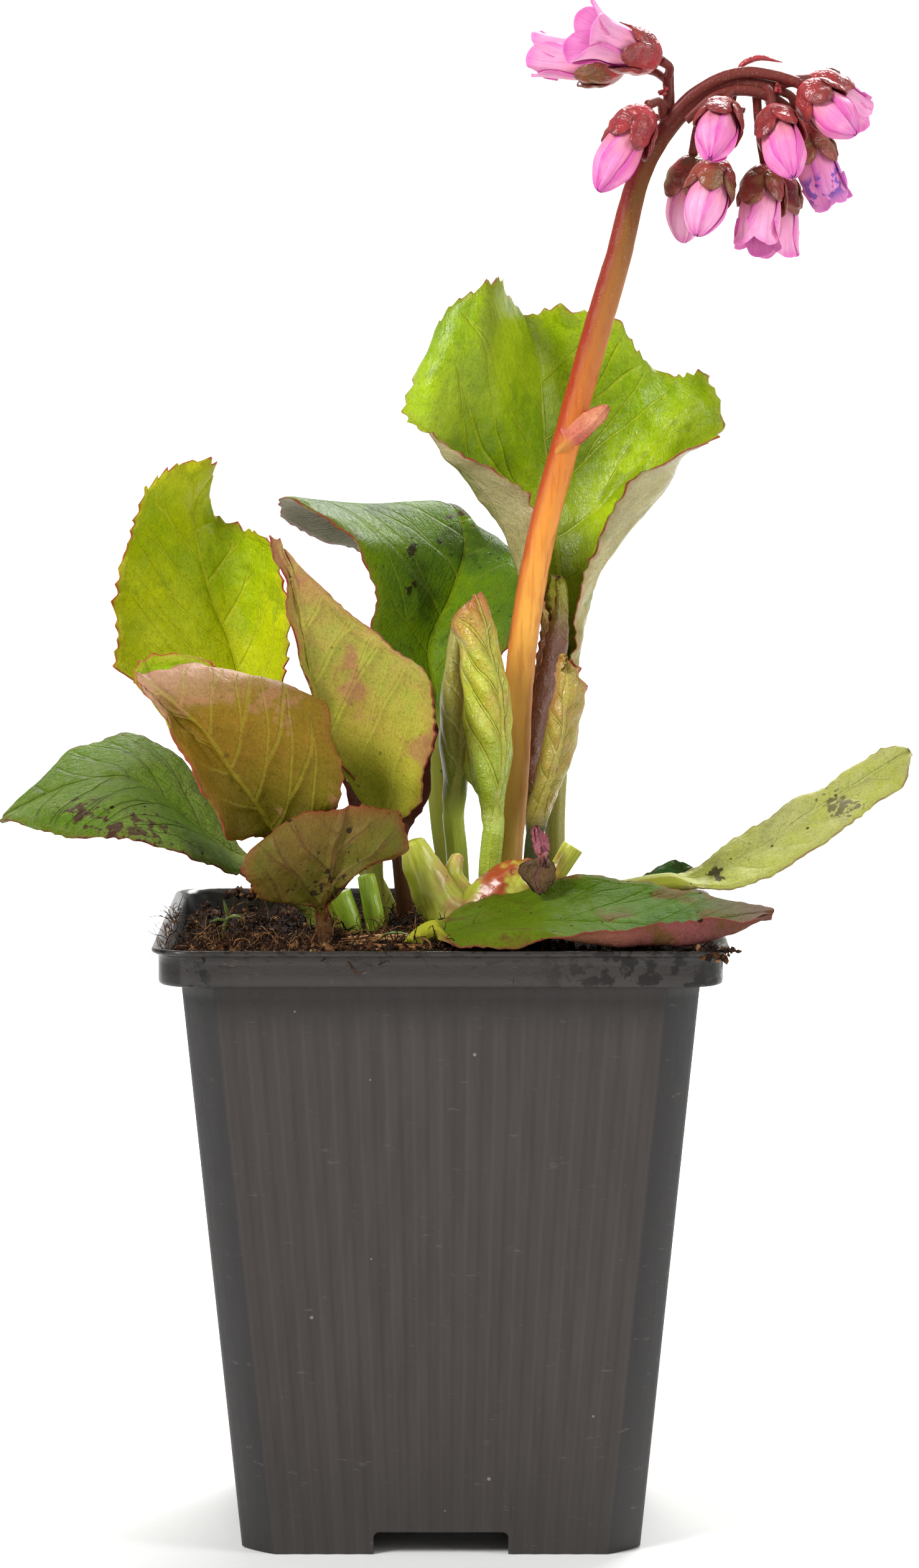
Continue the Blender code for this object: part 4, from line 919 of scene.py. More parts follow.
    normal = unit(np.cross(np.gradient(grid, axis=1), np.gradient(grid, axis=0)))
    round_off = np.sqrt(np.clip(1.0 - t[None] ** 2, 0.0, 1.0))
    thin = thick * (0.35 + 0.65 * smooth_step(edge, 0.0, 1.2))
    stalk_round = radius * round_off * (1 - bladeness)
    rise = thin + 0.6 * stalk_round - (RIB_GROOVE * rib + VEIN_GROOVE * relief * vein) * bladeness
    drop = thin + 0.9 * stalk_round + (rib_depth * rib + VEIN_RIDGE * relief * vein) * bladeness
    top = grid + normal * (lift + rise)[..., None]
    below = grid + normal * (lift - drop)[..., None]
    marks = np.stack([beat, edge, bladeness + 0.0 * edge], axis=-1)
    spans = np.stack([share + 0.0 * edge, t[None] + 0.0 * edge, beat_mm + 0.0 * edge], axis=-1)
    spots = [np.stack([run, cross_mm, np.full_like(edge, under)], axis=-1) for under in (0.0, 1.0)]
    marks = {"leaf_place": spots, "leaf_marks": [marks, marks], "leaf_span": [spans, spans]}
    marks = {label: np.reshape(pair, (-1, 3)) for label, pair in marks.items()}
    return np.reshape([top, below], (-1, 3)), sheet_faces(*edge.shape), marks


def grow_leaf(node, slot, material, name=None, **shape):
    """Makes a leaf that stands for the solid of that node, as its blade or under its own name."""
    dress(node, name or node + "_blade", [leaf_sheet(**shape)], material)


# The tallest leaf, at the back: a bright funnel that opens to the front, with a high fold on
# its left and the right half spread wide.
grow_leaf(
    "leaf_tall_back", "leaf_lime",
    leaf_material(
        "leaf_tall_skin", "7c9c0a a4c010 bcc434 a8a070 98906a b0a878 9a4430 a8a450 5f7c0c",
        foot="b09c38", specular=0.38, blotches=0.45, grime=0.25, gloss=0.18, vein_show=0.35,
        foot_tint=0.4),
    radius=1.7, stalk=[(15, 8, 88), (16, 9, 100), (16, 10, 116), (17, 12, 132)],
    blade=[
        row(144, (16.5, 9.5), (16, 11.5), (16.5, 13), (17, 14), (18, 14.5), (18.5, 14), (19.5, 12.5),
            (20, 11), (19, 9)),
        row(154, (13.5, 6.5), (11.5, 10.5), (12, 15), (14, 18), (17, 19.5), (19, 19), (21, 16.5),
            (22, 11.5), (20, 6)),
        row(164, (12.5, 6.5, 165), (7, 12, 164.5), (9, 17.5), (12, 21.5), (16, 23.5), (20, 23),
            (23.5, 20), (28.5, 13), (24.5, 6, 165)),
        row(171.5, (9, 6.5, 172), (2, 11.5), (5, 18), (10, 22), (15.5, 25.5), (20, 26.5), (26, 23.5),
            (34.5, 14), (29, 6, 172.5)),
        row(177.5, (-1, 7), (-3, 9), (2, 14, 178), (8.5, 18.5, 178), (14.5, 27, 177), (20, 28.5, 177),
            (27, 26), (36, 17, 176.5), (39.5, 10, 178)),
        row(184.5, (-9, 9, 183.5), (-5, 7, 185.5), (0, 9.5, 186.5), (6.5, 14, 186.5), (14, 28.5),
            (20, 30), (27, 28), (34.5, 21, 182), (44, 13, 180)),
        [(-7.5, 10.5, 189), (-3.5, 8, 193.5), (0.5, 8, 195.5), (5.5, 11, 196), (13, 30, 192.5),
         (19.5, 30, 193), (26.5, 27, 192), (34, 24, 186.5), (43.5, 15, 184.5)],
        [(-4, 13, 194), (-2.5, 10, 200), (2, 9.5, 203), (6, 12.5, 205.5), (10.5, 29.5, 200),
         (18, 28, 200.5), (26.5, 25, 198.5), (32.5, 26, 190.5), (41.5, 17, 189.5)]],
    rows=190, columns=171, seed=4, vein_gap=9.0, lean=0.55, tooth=1.2, tooth_gap=2.9, pillow=0.12)

# The arching leaf behind the crown: dark green, its tip bent over to the left and back.
grow_leaf(
    "leaf_arching", "leaf_green",
    leaf_material(
        "leaf_arching_skin", "64820e 4c6a1a a8a01c a8a894 9a9484 b4b09a 8f3a30 8f9440 2a2c10",
        tip="34381a", specular=0.05, blotches=0.4, grime=0.8, gloss=0.22, vein_show=0.10, tip_tint=0.5,
        spots=[((-0.0085, 0.03, 0.1600), (0.0013, 0.02, 0.0018), "2a1810"),
               ((-0.0080, 0.03, 0.1540), (0.0012, 0.02, 0.0014), "2a1810"),
               ((0.0010, 0.03, 0.1660), (0.0040, 0.02, 0.0020), "4a3a24")]),
    radius=1.8, stalk=[(-1, 10, 88), (-1, 11, 100), (-3, 12, 114), (-4, 13, 127)],
    blade=[((-8, 12, 138), (-4, 15, 136), (1, 12, 138)),
           ((-14, 12, 145), (-5, 18, 143), (8, 13, 144)),
           ((-14, 14, 152), (-1, 24, 153), (11, 16, 153)),
           ((-18, 18, 162), (1, 31, 161), (10, 24, 158)),
           ((-28, 26, 168), (-2, 38, 167), (7, 33, 161)),
           ((-31, 35, 165), (-14, 44, 158), (4, 43, 155))],
    cup=(0.05, 0.1), rows=130, columns=111, seed=9, vein_gap=8.0, tooth=0.45, wave=0.3, pillow=0.0,
    crinkle=0.0, relief=0.15)

# The lime leaf at the left back, upright with a notch in its top edge.
grow_leaf(
    "leaf_lime_left", "leaf_lime",
    leaf_material(
        "leaf_lime_skin", "98ae08 bcc40a c8c430 8a8c50 7c7848 a0a060 a8402c 9aa040 6f8c10",
        foot="8f941c", blotches=0.5, grime=0.1, gloss=0.32, vein_show=0.35, foot_tint=0.4, flush=0.35),
    radius=1.7, stalk=[(-11, 8, 88), (-12, 9, 100), (-20, 12, 113), (-29, 13, 123)],
    blade=[
        row(129, (-35.5, 10), (-35, 11.5), (-35, 13), (-34.5, 13.5), (-34, 14), (-33.5, 13.5),
            (-33, 13, 129.5), (-32.5, 11.5, 129.5), (-31.5, 10.5, 129.5)),
        [(-53.5, 7, 138), (-50, 10, 136.5), (-45.5, 13, 136), (-41, 16, 135.5), (-36, 17.5, 135),
         (-34.5, 17, 135.5), (-33, 15, 136), (-31, 12, 137), (-29.5, 9, 138)],
        row(145, (-57, 6), (-53.5, 9.5), (-49, 13.5), (-44, 17.5, 144.5), (-38.5, 20, 144),
            (-36.5, 20, 144), (-34, 18.5, 144), (-31.5, 14.5, 144.5), (-28.5, 9.5, 145.5)),
        row(152.5, (-57, 6, 153), (-54, 10, 153.5), (-50.5, 14, 153.5), (-46.5, 18, 153), (-42, 21),
            (-39, 22), (-36.5, 21), (-33, 17.5), (-28.5, 10.5, 150)),
        [(-56, 7.5, 159.5), (-53.5, 11, 160.5), (-50.5, 15, 161), (-47.5, 18.5, 160.5), (-44, 21, 160),
         (-41.5, 23, 159.5), (-38.5, 23, 159), (-35, 20.5, 158), (-29.5, 12, 156)],
        [(-54, 9, 165), (-52, 12, 166.5), (-49.5, 15, 167.5), (-46.5, 18, 168), (-45, 21, 167),
         (-43, 24, 164.5), (-40.5, 25, 162.5), (-36.5, 23, 161.5), (-30.5, 14, 159.5)],
        [(-53, 11, 170.5), (-49, 14, 173.5), (-46, 17, 175), (-42.5, 19, 175.5), (-41.5, 22, 173),
         (-42.5, 25, 169), (-41, 26, 165), (-37, 24, 164), (-32, 16, 162)]],
    rows=170, columns=141, seed=2, vein_gap=8.0, tooth=1.3, tooth_gap=3.0, relief=0.7)

# The tall bronze leaf at the front left turns its underside to the front.
grow_leaf(
    "leaf_bronze_tall", "leaf_bronze",
    leaf_material(
        "leaf_bronze_tall_skin", "6a5a20 7a4a34 8a8430 a0a444 b0904c b4b43c 8a3430 a8a850 a86c56",
        foot="a8a428", tip="8f6248", blotches=0.6, grime=0.5, gloss=0.36, vein_show=0.35, foot_tint=0.8,
        tip_tint=0.6, flush=0.5),
    radius=1.6, stalk=[(-12, -13, 90), (-13, -13, 101), (-14, -12, 109), (-14, -11, 115)],
    blade=[
        [(-8, -16, 119), (-9.5, -15, 119), (-11, -13.5, 119.5), (-13, -12, 119.5), (-15, -11, 120),
         (-15.2, -11, 120.2), (-15.5, -11, 120.5), (-15.8, -11.4, 120.8), (-16, -12, 121)],
        row(127.5, (-5, -20, 128.5), (-8, -17.5, 128), (-11.5, -15), (-15.5, -12.5), (-19.5, -11),
            (-19.8, -11, 127.8), (-20, -11.4, 128), (-20.3, -12, 128.5), (-20.5, -13, 129)),
        row(135.5, (-4, -21), (-7.5, -18), (-12, -15, 135), (-17.5, -12.5, 135), (-22.5, -11),
            (-22.8, -11.2, 135.8), (-23, -11.8, 136), (-23.3, -12.8, 136.5), (-23.5, -14, 137)),
        row(143, (-5.5, -20, 142), (-9.5, -17.5, 142.5), (-14, -15), (-19, -13), (-24.5, -12),
            (-24.8, -12.2), (-25, -12.8), (-25.3, -13.8), (-25.5, -15)),
        row(150, (-12.5, -17, 147.5), (-16, -15.5, 148.5), (-19, -14, 149.5), (-22.5, -13),
            (-25.5, -12.5), (-26, -12.7), (-26.5, -13.3), (-27, -14.2, 150.2), (-27.5, -15.5, 150.5)),
        [(-20.5, -14, 154), (-22.5, -13.5, 155), (-24, -13, 156), (-25.5, -12.5, 156), (-27, -12, 156.5),
         (-27.5, -12.2, 156.6), (-28, -12.6, 156.8), (-28.3, -13.2, 157), (-28.5, -14, 157)],
        [(-27.5, -10.5, 160), (-28, -10, 161), (-29, -9.5, 162), (-29.5, -9, 162.5), (-30, -9, 163),
         (-30.2, -9.2, 163), (-30.5, -9.4, 163.2), (-30.8, -9.7, 163.4), (-31, -10, 163.5)]],
    rows=150, columns=121, seed=6, vein_gap=9.0, lean=1.2, tooth=0.6, tooth_gap=2.3, crinkle=0.15)

# The bronze leaf left of it leans out over the rim and also shows its underside. Its top margin
# curls over, so that a green arc of the upper side and its teeth show behind it.
grow_leaf(
    "leaf_bronze_left", "leaf_bronze",
    leaf_material(
        "leaf_bronze_left_skin", "8aa60c 9cb414 a8b034 8a641a 786212 948c28 9a4430 a0a430 a07050",
        foot="5c560a", tip="bc9078", blotches=0.6, grime=0.3, gloss=0.40, vein_show=0.35, foot_tint=0.9,
        tip_tint=0.8),
    radius=1.7, stalk=[(-18, -9, 90), (-19, -10, 101), (-22, -13, 107), (-26, -16, 113)],
    blade=[
        row(116.5, (-25, -21.5), (-27, -21), (-28.5, -20), (-29.5, -19), (-30.5, -19), (-31, -19.5, 116),
            (-32.5, -20.5, 115.5)),
        row(121, (-19.5, -25.5), (-23.5, -25, 120.5), (-28, -23), (-32.5, -21.5, 121.5), (-34, -21.5),
            (-35.5, -22.5, 119), (-37, -25, 116)),
        [(-19, -26.5, 125), (-23.5, -26.5, 126), (-30, -25, 127), (-36.5, -23, 127), (-38.5, -23, 126.5),
         (-39.5, -24, 125.5), (-40.5, -27.5, 122.5)],
        [(-20, -26, 130.5), (-25.5, -27, 133), (-33, -26, 133.5), (-40.5, -23.5, 133), (-43, -23, 132),
         (-43.5, -24.5, 131.5), (-44, -28, 129)],
        [(-22.5, -23.5, 138), (-28.5, -25, 139.5), (-36.5, -25, 138.5), (-44.5, -22.5, 136.5),
         (-46.5, -22, 135.5), (-46.5, -23.5, 135), (-46.5, -27, 133)],
        [(-33, -19.5, 141.5), (-38, -21, 142), (-43.5, -21.5, 141), (-48.5, -20, 139.5),
         (-49.5, -20, 138.5), (-49, -21.5, 137.5), (-47.5, -24.5, 135.5)],
        [(-42.5, -16, 143), (-46, -17, 143), (-49.5, -17.5, 142.5), (-52, -17, 141.5),
         (-52, -17.5, 140.5), (-51.5, -18.5, 140), (-50.5, -20, 138.5)]],
    rows=150, columns=121, seed=12, vein_gap=6.5, lean=1.0, tooth=0.5, tooth_gap=2.6, crinkle=0.15)
grow_leaf(
    "leaf_bronze_left", "leaf_bronze",
    leaf_material(
        "leaf_lip_skin", "88b00c a0c018 a8c034 8aa81c 98a82c a8b034 b03c2c a0a430 8a9820",
        blotches=0.3, gloss=0.3, vein_show=0.3, flush=0.6),
    name="leaf_bronze_left_lip", radius=0.8, stalk=[(-40, -15, 134), (-41, -15, 136), (-42.5, -15, 137.5)],
    blade=[
        [(-47, -16, 136), (-47.5, -15, 137), (-47.5, -14, 138.5), (-47, -14, 139.5), (-45.5, -14, 140),
         (-44, -14, 140), (-42.5, -14, 139.5)],
        [(-47, -19, 136), (-49, -17, 138), (-51, -15, 140), (-50, -13.5, 141.5), (-47.5, -13, 142.5),
         (-44.5, -13.5, 142.5), (-41, -14.5, 141.5)],
        [(-46, -21.5, 135.5), (-51, -18.5, 138.5), (-53, -15.5, 142), (-51, -13.5, 144), (-47, -13, 145),
         (-43, -14, 144.5), (-40, -15.5, 143)]],
    rows=40, columns=91, seed=14, vein_gap=6.0, tooth=0.6, tooth_gap=2.4, wave=0.2, pillow=0.1,
    rib_depth=0.1)

# The small leaf at the front of the rim, nearly flat, with a dark midrib on its underside.
grow_leaf(
    "leaf_small_front", "leaf_bronze",
    leaf_material(
        "leaf_small_skin", "5a6020 6a5020 7a7a30 5c5a18 6c5622 54241a 8a2c28 6b4a2c 503c1c",
        foot="6a7420", blotches=0.4, grime=0.9, gloss=0.4, vein_show=0.4, flush=0.6,
        spots=[((-0.0215, -0.04, 0.1083), (0.005, 0.02, 0.0030), "2a1a10"),
               ((-0.0150, -0.04, 0.1085), (0.003, 0.02, 0.0040), "33200f")]),
    radius=1.3, stalk=[(-21, -25, 90), (-21.5, -25.5, 99), (-22, -26, 102)],
    blade=[
        row(105, (-21, -28, 105.5), (-21.3, -27.6), (-21.6, -27.2), (-22, -27, 104.8),
            (-23, -27.2, 104.8), (-23.5, -27.6), (-24, -28)),
        [(-17.5, -29.5, 109.5), (-19, -29, 108.5), (-20.5, -28.5, 108), (-21.5, -28, 107.5),
         (-25, -29, 107), (-28, -30, 106.5), (-31.5, -31, 106.5)],
        [(-13.5, -30, 112), (-15.5, -30, 112), (-18, -29.5, 111.5), (-20.5, -29, 111), (-25, -30.5, 111),
         (-29.5, -32, 110), (-34, -33, 110)],
        row(115, (-8.5, -28.5, 114.5), (-11.5, -29.5), (-15.5, -30), (-20, -29.5), (-24.5, -31, 114.5),
            (-29, -32.5, 113.5), (-34.5, -33, 112)),
        row(118, (-8.5, -27), (-11.5, -28.5), (-15, -29), (-19, -29), (-23.5, -30.5, 117.5),
            (-28, -31.5, 117), (-33, -32, 115)),
        row(121, (-10.5, -25.5, 120.5), (-13, -27), (-16, -28), (-18.5, -28), (-22, -29),
            (-25.5, -29.5, 120), (-29, -30.5, 118.5))],
    rows=100, columns=91, seed=3, vein_gap=6.0, tooth=0.5, tooth_gap=2.2)

# The low leaf at the far left lies out over the rim, green with maroon blotches.
grow_leaf(
    "leaf_low_left", "leaf_green",
    leaf_material(
        "leaf_low_skin", "5a7a10 74863a 94a42c 8f9a60 848c58 a8b070 7a3a2c 8f9440 4c5a28",
        foot="4a7a0c", specular=0.12, blotches=0.5, grime=0.95, gloss=0.34, vein_show=0.02, depth=0.0010,
        spots=[((-0.0535, -0.022, 0.1165), (0.007, 0.02, 0.0035), "4a2420"),
               ((-0.0615, -0.022, 0.1195), (0.004, 0.02, 0.0022), "4a2420")]),
    radius=1.8, stalk=[(-23, -3, 90), (-24, -4, 102), (-29, -6, 106), (-34, -7, 109)],
    blade=[((-37, -14, 109), (-38, -9, 112), (-38, -5, 115)),
           ((-44, -24, 113), (-45, -10, 118), (-43, 0, 123)),
           ((-53, -28, 116), (-54, -10, 124), (-53, 4, 130)),
           ((-63, -24, 116), (-64, -11, 123), (-64, 0, 128)),
           ((-70, -18, 117), (-75, -12, 118), (-69, -6, 123))],
    cup=(-0.1, 0.0), seed=15, rows=140, columns=111, vein_gap=7.0, tooth=0.5, wave=0.25, relief=0.2,
    pillow=0.05)

# The leaf that lies along the front rim. Its left part droops over the rim, and farther right
# its front edge turns up and shows the maroon underside.
grow_leaf(
    "leaf_on_rim", "leaf_green",
    leaf_material(
        "leaf_rim_skin", "30500a 42600e 5c7c1c 844a4c 6c4038 8a6040 7a3c30 a8a830 5a4420",
        foot="a4a424", tip="5f4438", specular=0.015, blotches=0.8, grime=1.0, gloss=0.34, vein_show=0.04,
        foot_tint=0.15, tip_tint=0.9),
    radius=1.7, stalk=[(-8, -31, 90), (-7, -31, 100), (-4, -32, 102)],
    blade=[
        [(-1, -27, 104), (-1.5, -29, 103), (-2, -31, 102.5), (-2, -33, 102), (-2, -36, 101.5),
         (-1.5, -40, 101), (-1, -43.5, 101)],
        [(2.5, -23, 105.5), (2, -25.5, 104), (1.5, -29, 103), (1, -33, 102.5), (1, -38, 102),
         (1, -42.5, 102), (1.5, -45.5, 100.7)],
        row(102.5, (9, -20, 106.5), (8.5, -23, 105), (8, -27, 103.5), (8, -32.5), (8, -38.5), (8, -43),
            (8.5, -45.6, 100.7)),
        [(15.5, -18.5, 108.5), (15.5, -22, 106), (15, -26.5, 104.5), (15, -32.5, 103), (15, -39.5, 102.5),
         (15, -43.3, 102.5), (15, -45, 102)],
        [(22, -18, 109), (22, -22, 106.5), (22, -26.5, 104.5), (22, -32.5, 103), (22, -39, 101.5),
         (22, -43.5, 101), (22, -45, 103)],
        [(31, -18, 107.5), (31, -22, 105.5), (31, -27, 104), (31, -33, 102.5), (30.5, -39, 101.5),
         (30.5, -43.5, 101), (30.5, -45, 104)],
        [(39, -21, 106.5), (39, -24.5, 105.5), (39.5, -29, 104.5), (39.5, -34, 103), (39, -39, 102),
         (39, -42.5, 101.5), (39, -43.5, 105)],
        [(46, -25.5, 105), (46.5, -28, 105), (46.5, -31, 104.5), (46.5, -34, 104.5), (46, -36.5, 104),
         (46, -38.5, 103.5), (45.5, -39.5, 104)],
        row(104.5, (49, -28.5, 105), (49.5, -29.5, 105), (50, -31, 105), (50, -32.5), (50, -34),
            (49.5, -35), (48.5, -36))],
    rows=160, columns=111, seed=21, vein_gap=7.0, tooth=0.35, wave=0.25, pillow=0.05, relief=0.25)

# The pale leaf at the right, long and narrow, with black soil marks.
grow_leaf(
    "leaf_pale_right", "leaf_pale",
    leaf_material(
        "leaf_pale_skin", "a4aa48 b0b070 bcbe78 aeb866 b4bc90 c0c880 8f7a50 a8ac3c 7c7c50",
        foot="9ca828", blotches=0.4, grime=0.85, gloss=0.38, vein_show=0.2, foot_tint=0.5,
        spots=[((0.0640, 0.012, 0.1180), (0.0035, 0.02, 0.0022), "6a6240"),
               ((0.0430, 0.010, 0.1060), (0.0016, 0.02, 0.0014), "2c2418")]),
    radius=1.7, stalk=[(19, 7, 90), (20.5, 8, 102), (28, 9, 104), (35, 10, 105)],
    blade=[
        [(39, 13, 106.5), (39.5, 12, 105.5), (40, 11, 105), (40.5, 9.5, 104.5), (41, 8, 104)],
        [(44, 15.5, 110), (44.5, 13.5, 109), (45.5, 11.5, 107.5), (46, 9, 106), (47, 5, 104.5)],
        [(50.5, 16.5, 114), (51, 15, 112.5), (52, 13, 111), (52.5, 10, 109.5), (53.5, 5, 107.5)],
        [(55.5, 17, 117.5), (56.5, 15.5, 117), (57.5, 13.5, 115), (58.5, 10.5, 113), (59.5, 5.5, 111)],
        [(61, 17.5, 120), (62, 16, 120), (63, 14, 118.5), (64, 11, 117), (65, 6.5, 115)],
        [(66.5, 17.5, 123.5), (67.5, 16, 123.5), (68.5, 14.5, 122), (69, 12, 120.5), (70, 8, 118.5)],
        [(71.5, 16, 127), (72, 15.5, 126.5), (73, 14.5, 125), (74, 12.5, 123.5), (74.5, 9.5, 122)],
        [(74.5, 15, 127.2), (75, 14.5, 127), (75.7, 14, 126.5), (75.7, 13, 126), (75.5, 11.5, 125.5)]],
    seed=27, rows=130, columns=71, vein_gap=7.0, tooth=0.4, tooth_gap=2.4, wave=0.2)

# The young leaves stand folded round the stem, crinkled and shiny.
grow_leaf(
    "leaf_young_front", "leaf_bronze",
    leaf_material(
        "leaf_young_front_skin", "bcc030 c89434 c8c848 b8c034 c48c34 c4c840 a03424 bcd448 b8782c",
        foot="a4c030", tip="b04a26", specular=0.9, blotches=0.5, grime=0.15, gloss=0.06, depth=0.0006,
        foot_tint=0.8, tip_tint=0.7, flush=0.6),
    radius=1.8, stalk=[(5, -9, 90), (5, -9, 101), (5, -9, 110), (5.5, -10, 115)],
    blade=[
        row(120, (3.5, -8.5), (4, -10.5), (5, -11), (6, -10.5), (6.5, -9.5), (7, -8.5), (6.5, -7.5)),
        row(125.5, (1, -8), (2.5, -11.5, 126), (4.5, -13), (7, -11.5, 125), (7.5, -9.5), (8, -8), (7, -7)),
        row(133, (1, -8), (2, -12), (4.5, -14), (7, -12.5, 132), (8, -10, 132.5), (8, -8, 132.5),
            (7.5, -7)),
        row(139.5, (0.5, -8), (1.5, -12, 140), (4, -14), (6.5, -12.5, 138.5), (7.5, -10, 139), (7.5, -8),
            (7, -7)),
        row(145.5, (0, -8.5), (1, -12, 146), (3, -14), (5, -12.5, 145), (6, -10, 145), (6, -8.5),
            (5.5, -7.5)),
        row(150, (-1, -9, 149), (0, -12), (1.5, -13, 150.5), (4, -12), (5, -10.5), (5, -9),
            (4.5, -8, 150.5)),
        [(-0.5, -9.5, 151), (0.5, -11, 152.5), (1.5, -12, 153.5), (2.5, -11.5, 154.5),
         (3.5, -10.5, 154.5), (4, -9.5, 153.5), (4, -9, 153)]],
    rows=120, columns=81, seed=31, vein_gap=7.5, lean=1.4, pillow=0.7, relief=0.5, crinkle=0.25,
    tooth=0.5, tooth_gap=1.9, wave=0.25)
grow_leaf(
    "leaf_young_left", "leaf_green",
    leaf_material(
        "leaf_young_left_skin", "948c38 a4a058 b8b468 9c9c4c aca868 bcbc78 8a5a44 c8dc60 94844e",
        foot="5a7a1c", specular=0.3, blotches=0.3, grime=0.15, gloss=0.24, foot_tint=0.6),
    radius=1.8, stalk=[(0, -1, 90), (0, -1, 101), (-0.5, -1.5, 112), (-1, -3, 117)],
    blade=[
        row(123, (-2.5, -3), (-2, -5), (-1.5, -6), (-0.5, -6, 122.5), (0.5, -5, 122.5), (1, -3.5), (1, -2)),
        row(127.5, (-3, -3, 128.5), (-2.5, -6, 128.5), (-1.5, -7.5, 128), (0, -7), (1, -5), (1.5, -3),
            (2, -1, 128)),
        row(135.5, (-3, -3), (-2.5, -6), (-1.5, -7.5), (0.5, -6.5, 135), (1.5, -4.5, 135), (2, -2.5),
            (2, -0.5)),
        row(142, (-2, -3), (-2, -5.5, 142.5), (-1, -6.5, 142.5), (0.5, -5.5), (1, -4), (1.5, -2), (1.5, 0)),
        row(146, (-1.5, -3), (-1, -5), (-0.5, -5.5, 146.5), (0, -5), (1, -3.5), (1, -2), (1.5, -0.5)),
        [(-1.5, -3, 148.5), (-1, -4, 149.5), (-1, -4.5, 150), (-0.5, -4, 150), (0, -3.2, 149.5),
         (0.5, -2.4, 149), (0.5, -1.5, 148.5)]],
    rows=90, columns=61, seed=33, vein_gap=5.0, tooth=0.3, wave=0.2)
grow_leaf(
    "leaf_young_back", "leaf_maroon",
    leaf_material(
        "leaf_young_back_skin", "744634 845a3c 946848 7c4a38 6a4028 7a5438 4a1c18 6a7430 3a1c16",
        tip="9aa420", specular=0.5, blotches=0.3, grime=0.1, gloss=0.18, depth=0.0004, tip_tint=0.8),
    radius=1.4, stalk=[(13, 3.5, 90), (13, 4, 101), (12.5, 5, 112), (12, 5.5, 118)],
    blade=[
        row(124.5, (11, 7), (11.5, 7.5, 124), (12.5, 6.8, 124), (12.5, 5.2), (12.5, 3.6), (11.5, 3),
            (10.5, 3.2)),
        row(130, (11.5, 8), (12.5, 8.4), (13.5, 7.4), (14, 5.4), (13, 3.4), (12.5, 2.8), (11, 3)),
        row(136.5, (12, 8.2), (13.5, 8.6), (14.5, 7.6), (15, 5.4), (14.5, 3.4), (13.5, 2.8, 137),
            (12, 3, 137)),
        row(143, (13, 8.4), (14, 8.8), (15.5, 7.8), (16.5, 5.6), (15.5, 3.6, 143.5), (14.5, 3, 143.5),
            (14, 3.2, 143.5)),
        row(149.5, (13.5, 8.2, 149), (15, 8.6, 149), (16, 7.6, 149), (17, 5.6), (16.5, 3.8), (16, 3.3),
            (15, 3.4)),
        row(153.5, (14.5, 7.8), (15, 8), (16, 7.2, 154), (17, 5.8), (16.5, 4.4), (16.5, 4), (16, 4)),
        row(156.5, (15, 7), (15.5, 7), (15.5, 6.6), (16, 6), (16, 5.4, 156), (16, 5, 156),
            (16, 4.8, 155.5))],
    rows=110, columns=61, seed=35, vein_gap=5.0, tooth=0.4, tooth_gap=2.0, wave=0.25)
grow_leaf(
    "leaf_young_right", "leaf_bronze",
    leaf_material(
        "leaf_young_right_skin", "a4943a b07c40 bcb054 a8983c b08040 bcb054 a03424 3c421c 985a38",
        foot="7a7c2c", specular=0.5, blotches=0.35, grime=0.2, gloss=0.16, depth=0.0004, flush=0.6),
    radius=1.5, stalk=[(12, -6, 90), (12, -6, 101), (12, -6, 110), (12.5, -6, 115)],
    blade=[
        row(119.5, (11.5, -4.5), (12, -6.5), (13, -7.5), (13.5, -7.6), (14.5, -6.8), (15, -5.5),
            (15.5, -4)),
        row(125.5, (13, -4.5), (13.5, -7), (14.5, -8.6), (15.5, -8.8), (16.5, -7.6), (17.5, -6),
            (17.5, -4)),
        row(132, (14.5, -4.5), (15, -7), (16, -8.6), (17, -9, 131.5), (18, -7.6), (19, -6), (19.5, -4)),
        row(137.5, (15.5, -4.5), (16, -6.8), (17, -8.2), (17.5, -8.4), (19, -7.4), (20, -6), (20.5, -4.5)),
        row(141.5, (16, -4.8), (16.5, -6.5), (17, -7.4), (17.5, -7.4), (18.5, -6.8, 141),
            (19, -5.8, 140.5), (20, -4.8, 140)),
        row(144, (16.5, -5), (16.5, -5.8), (17, -6.2), (17.5, -6.2), (18, -5.8, 143.5),
            (18.5, -5.4, 142.5), (19, -5, 142.5))],
    rows=110, columns=71, seed=37, vein_gap=4.5, pillow=0.4, crinkle=0.3, tooth=1.6, tooth_gap=2.5,
    wave=0.25)

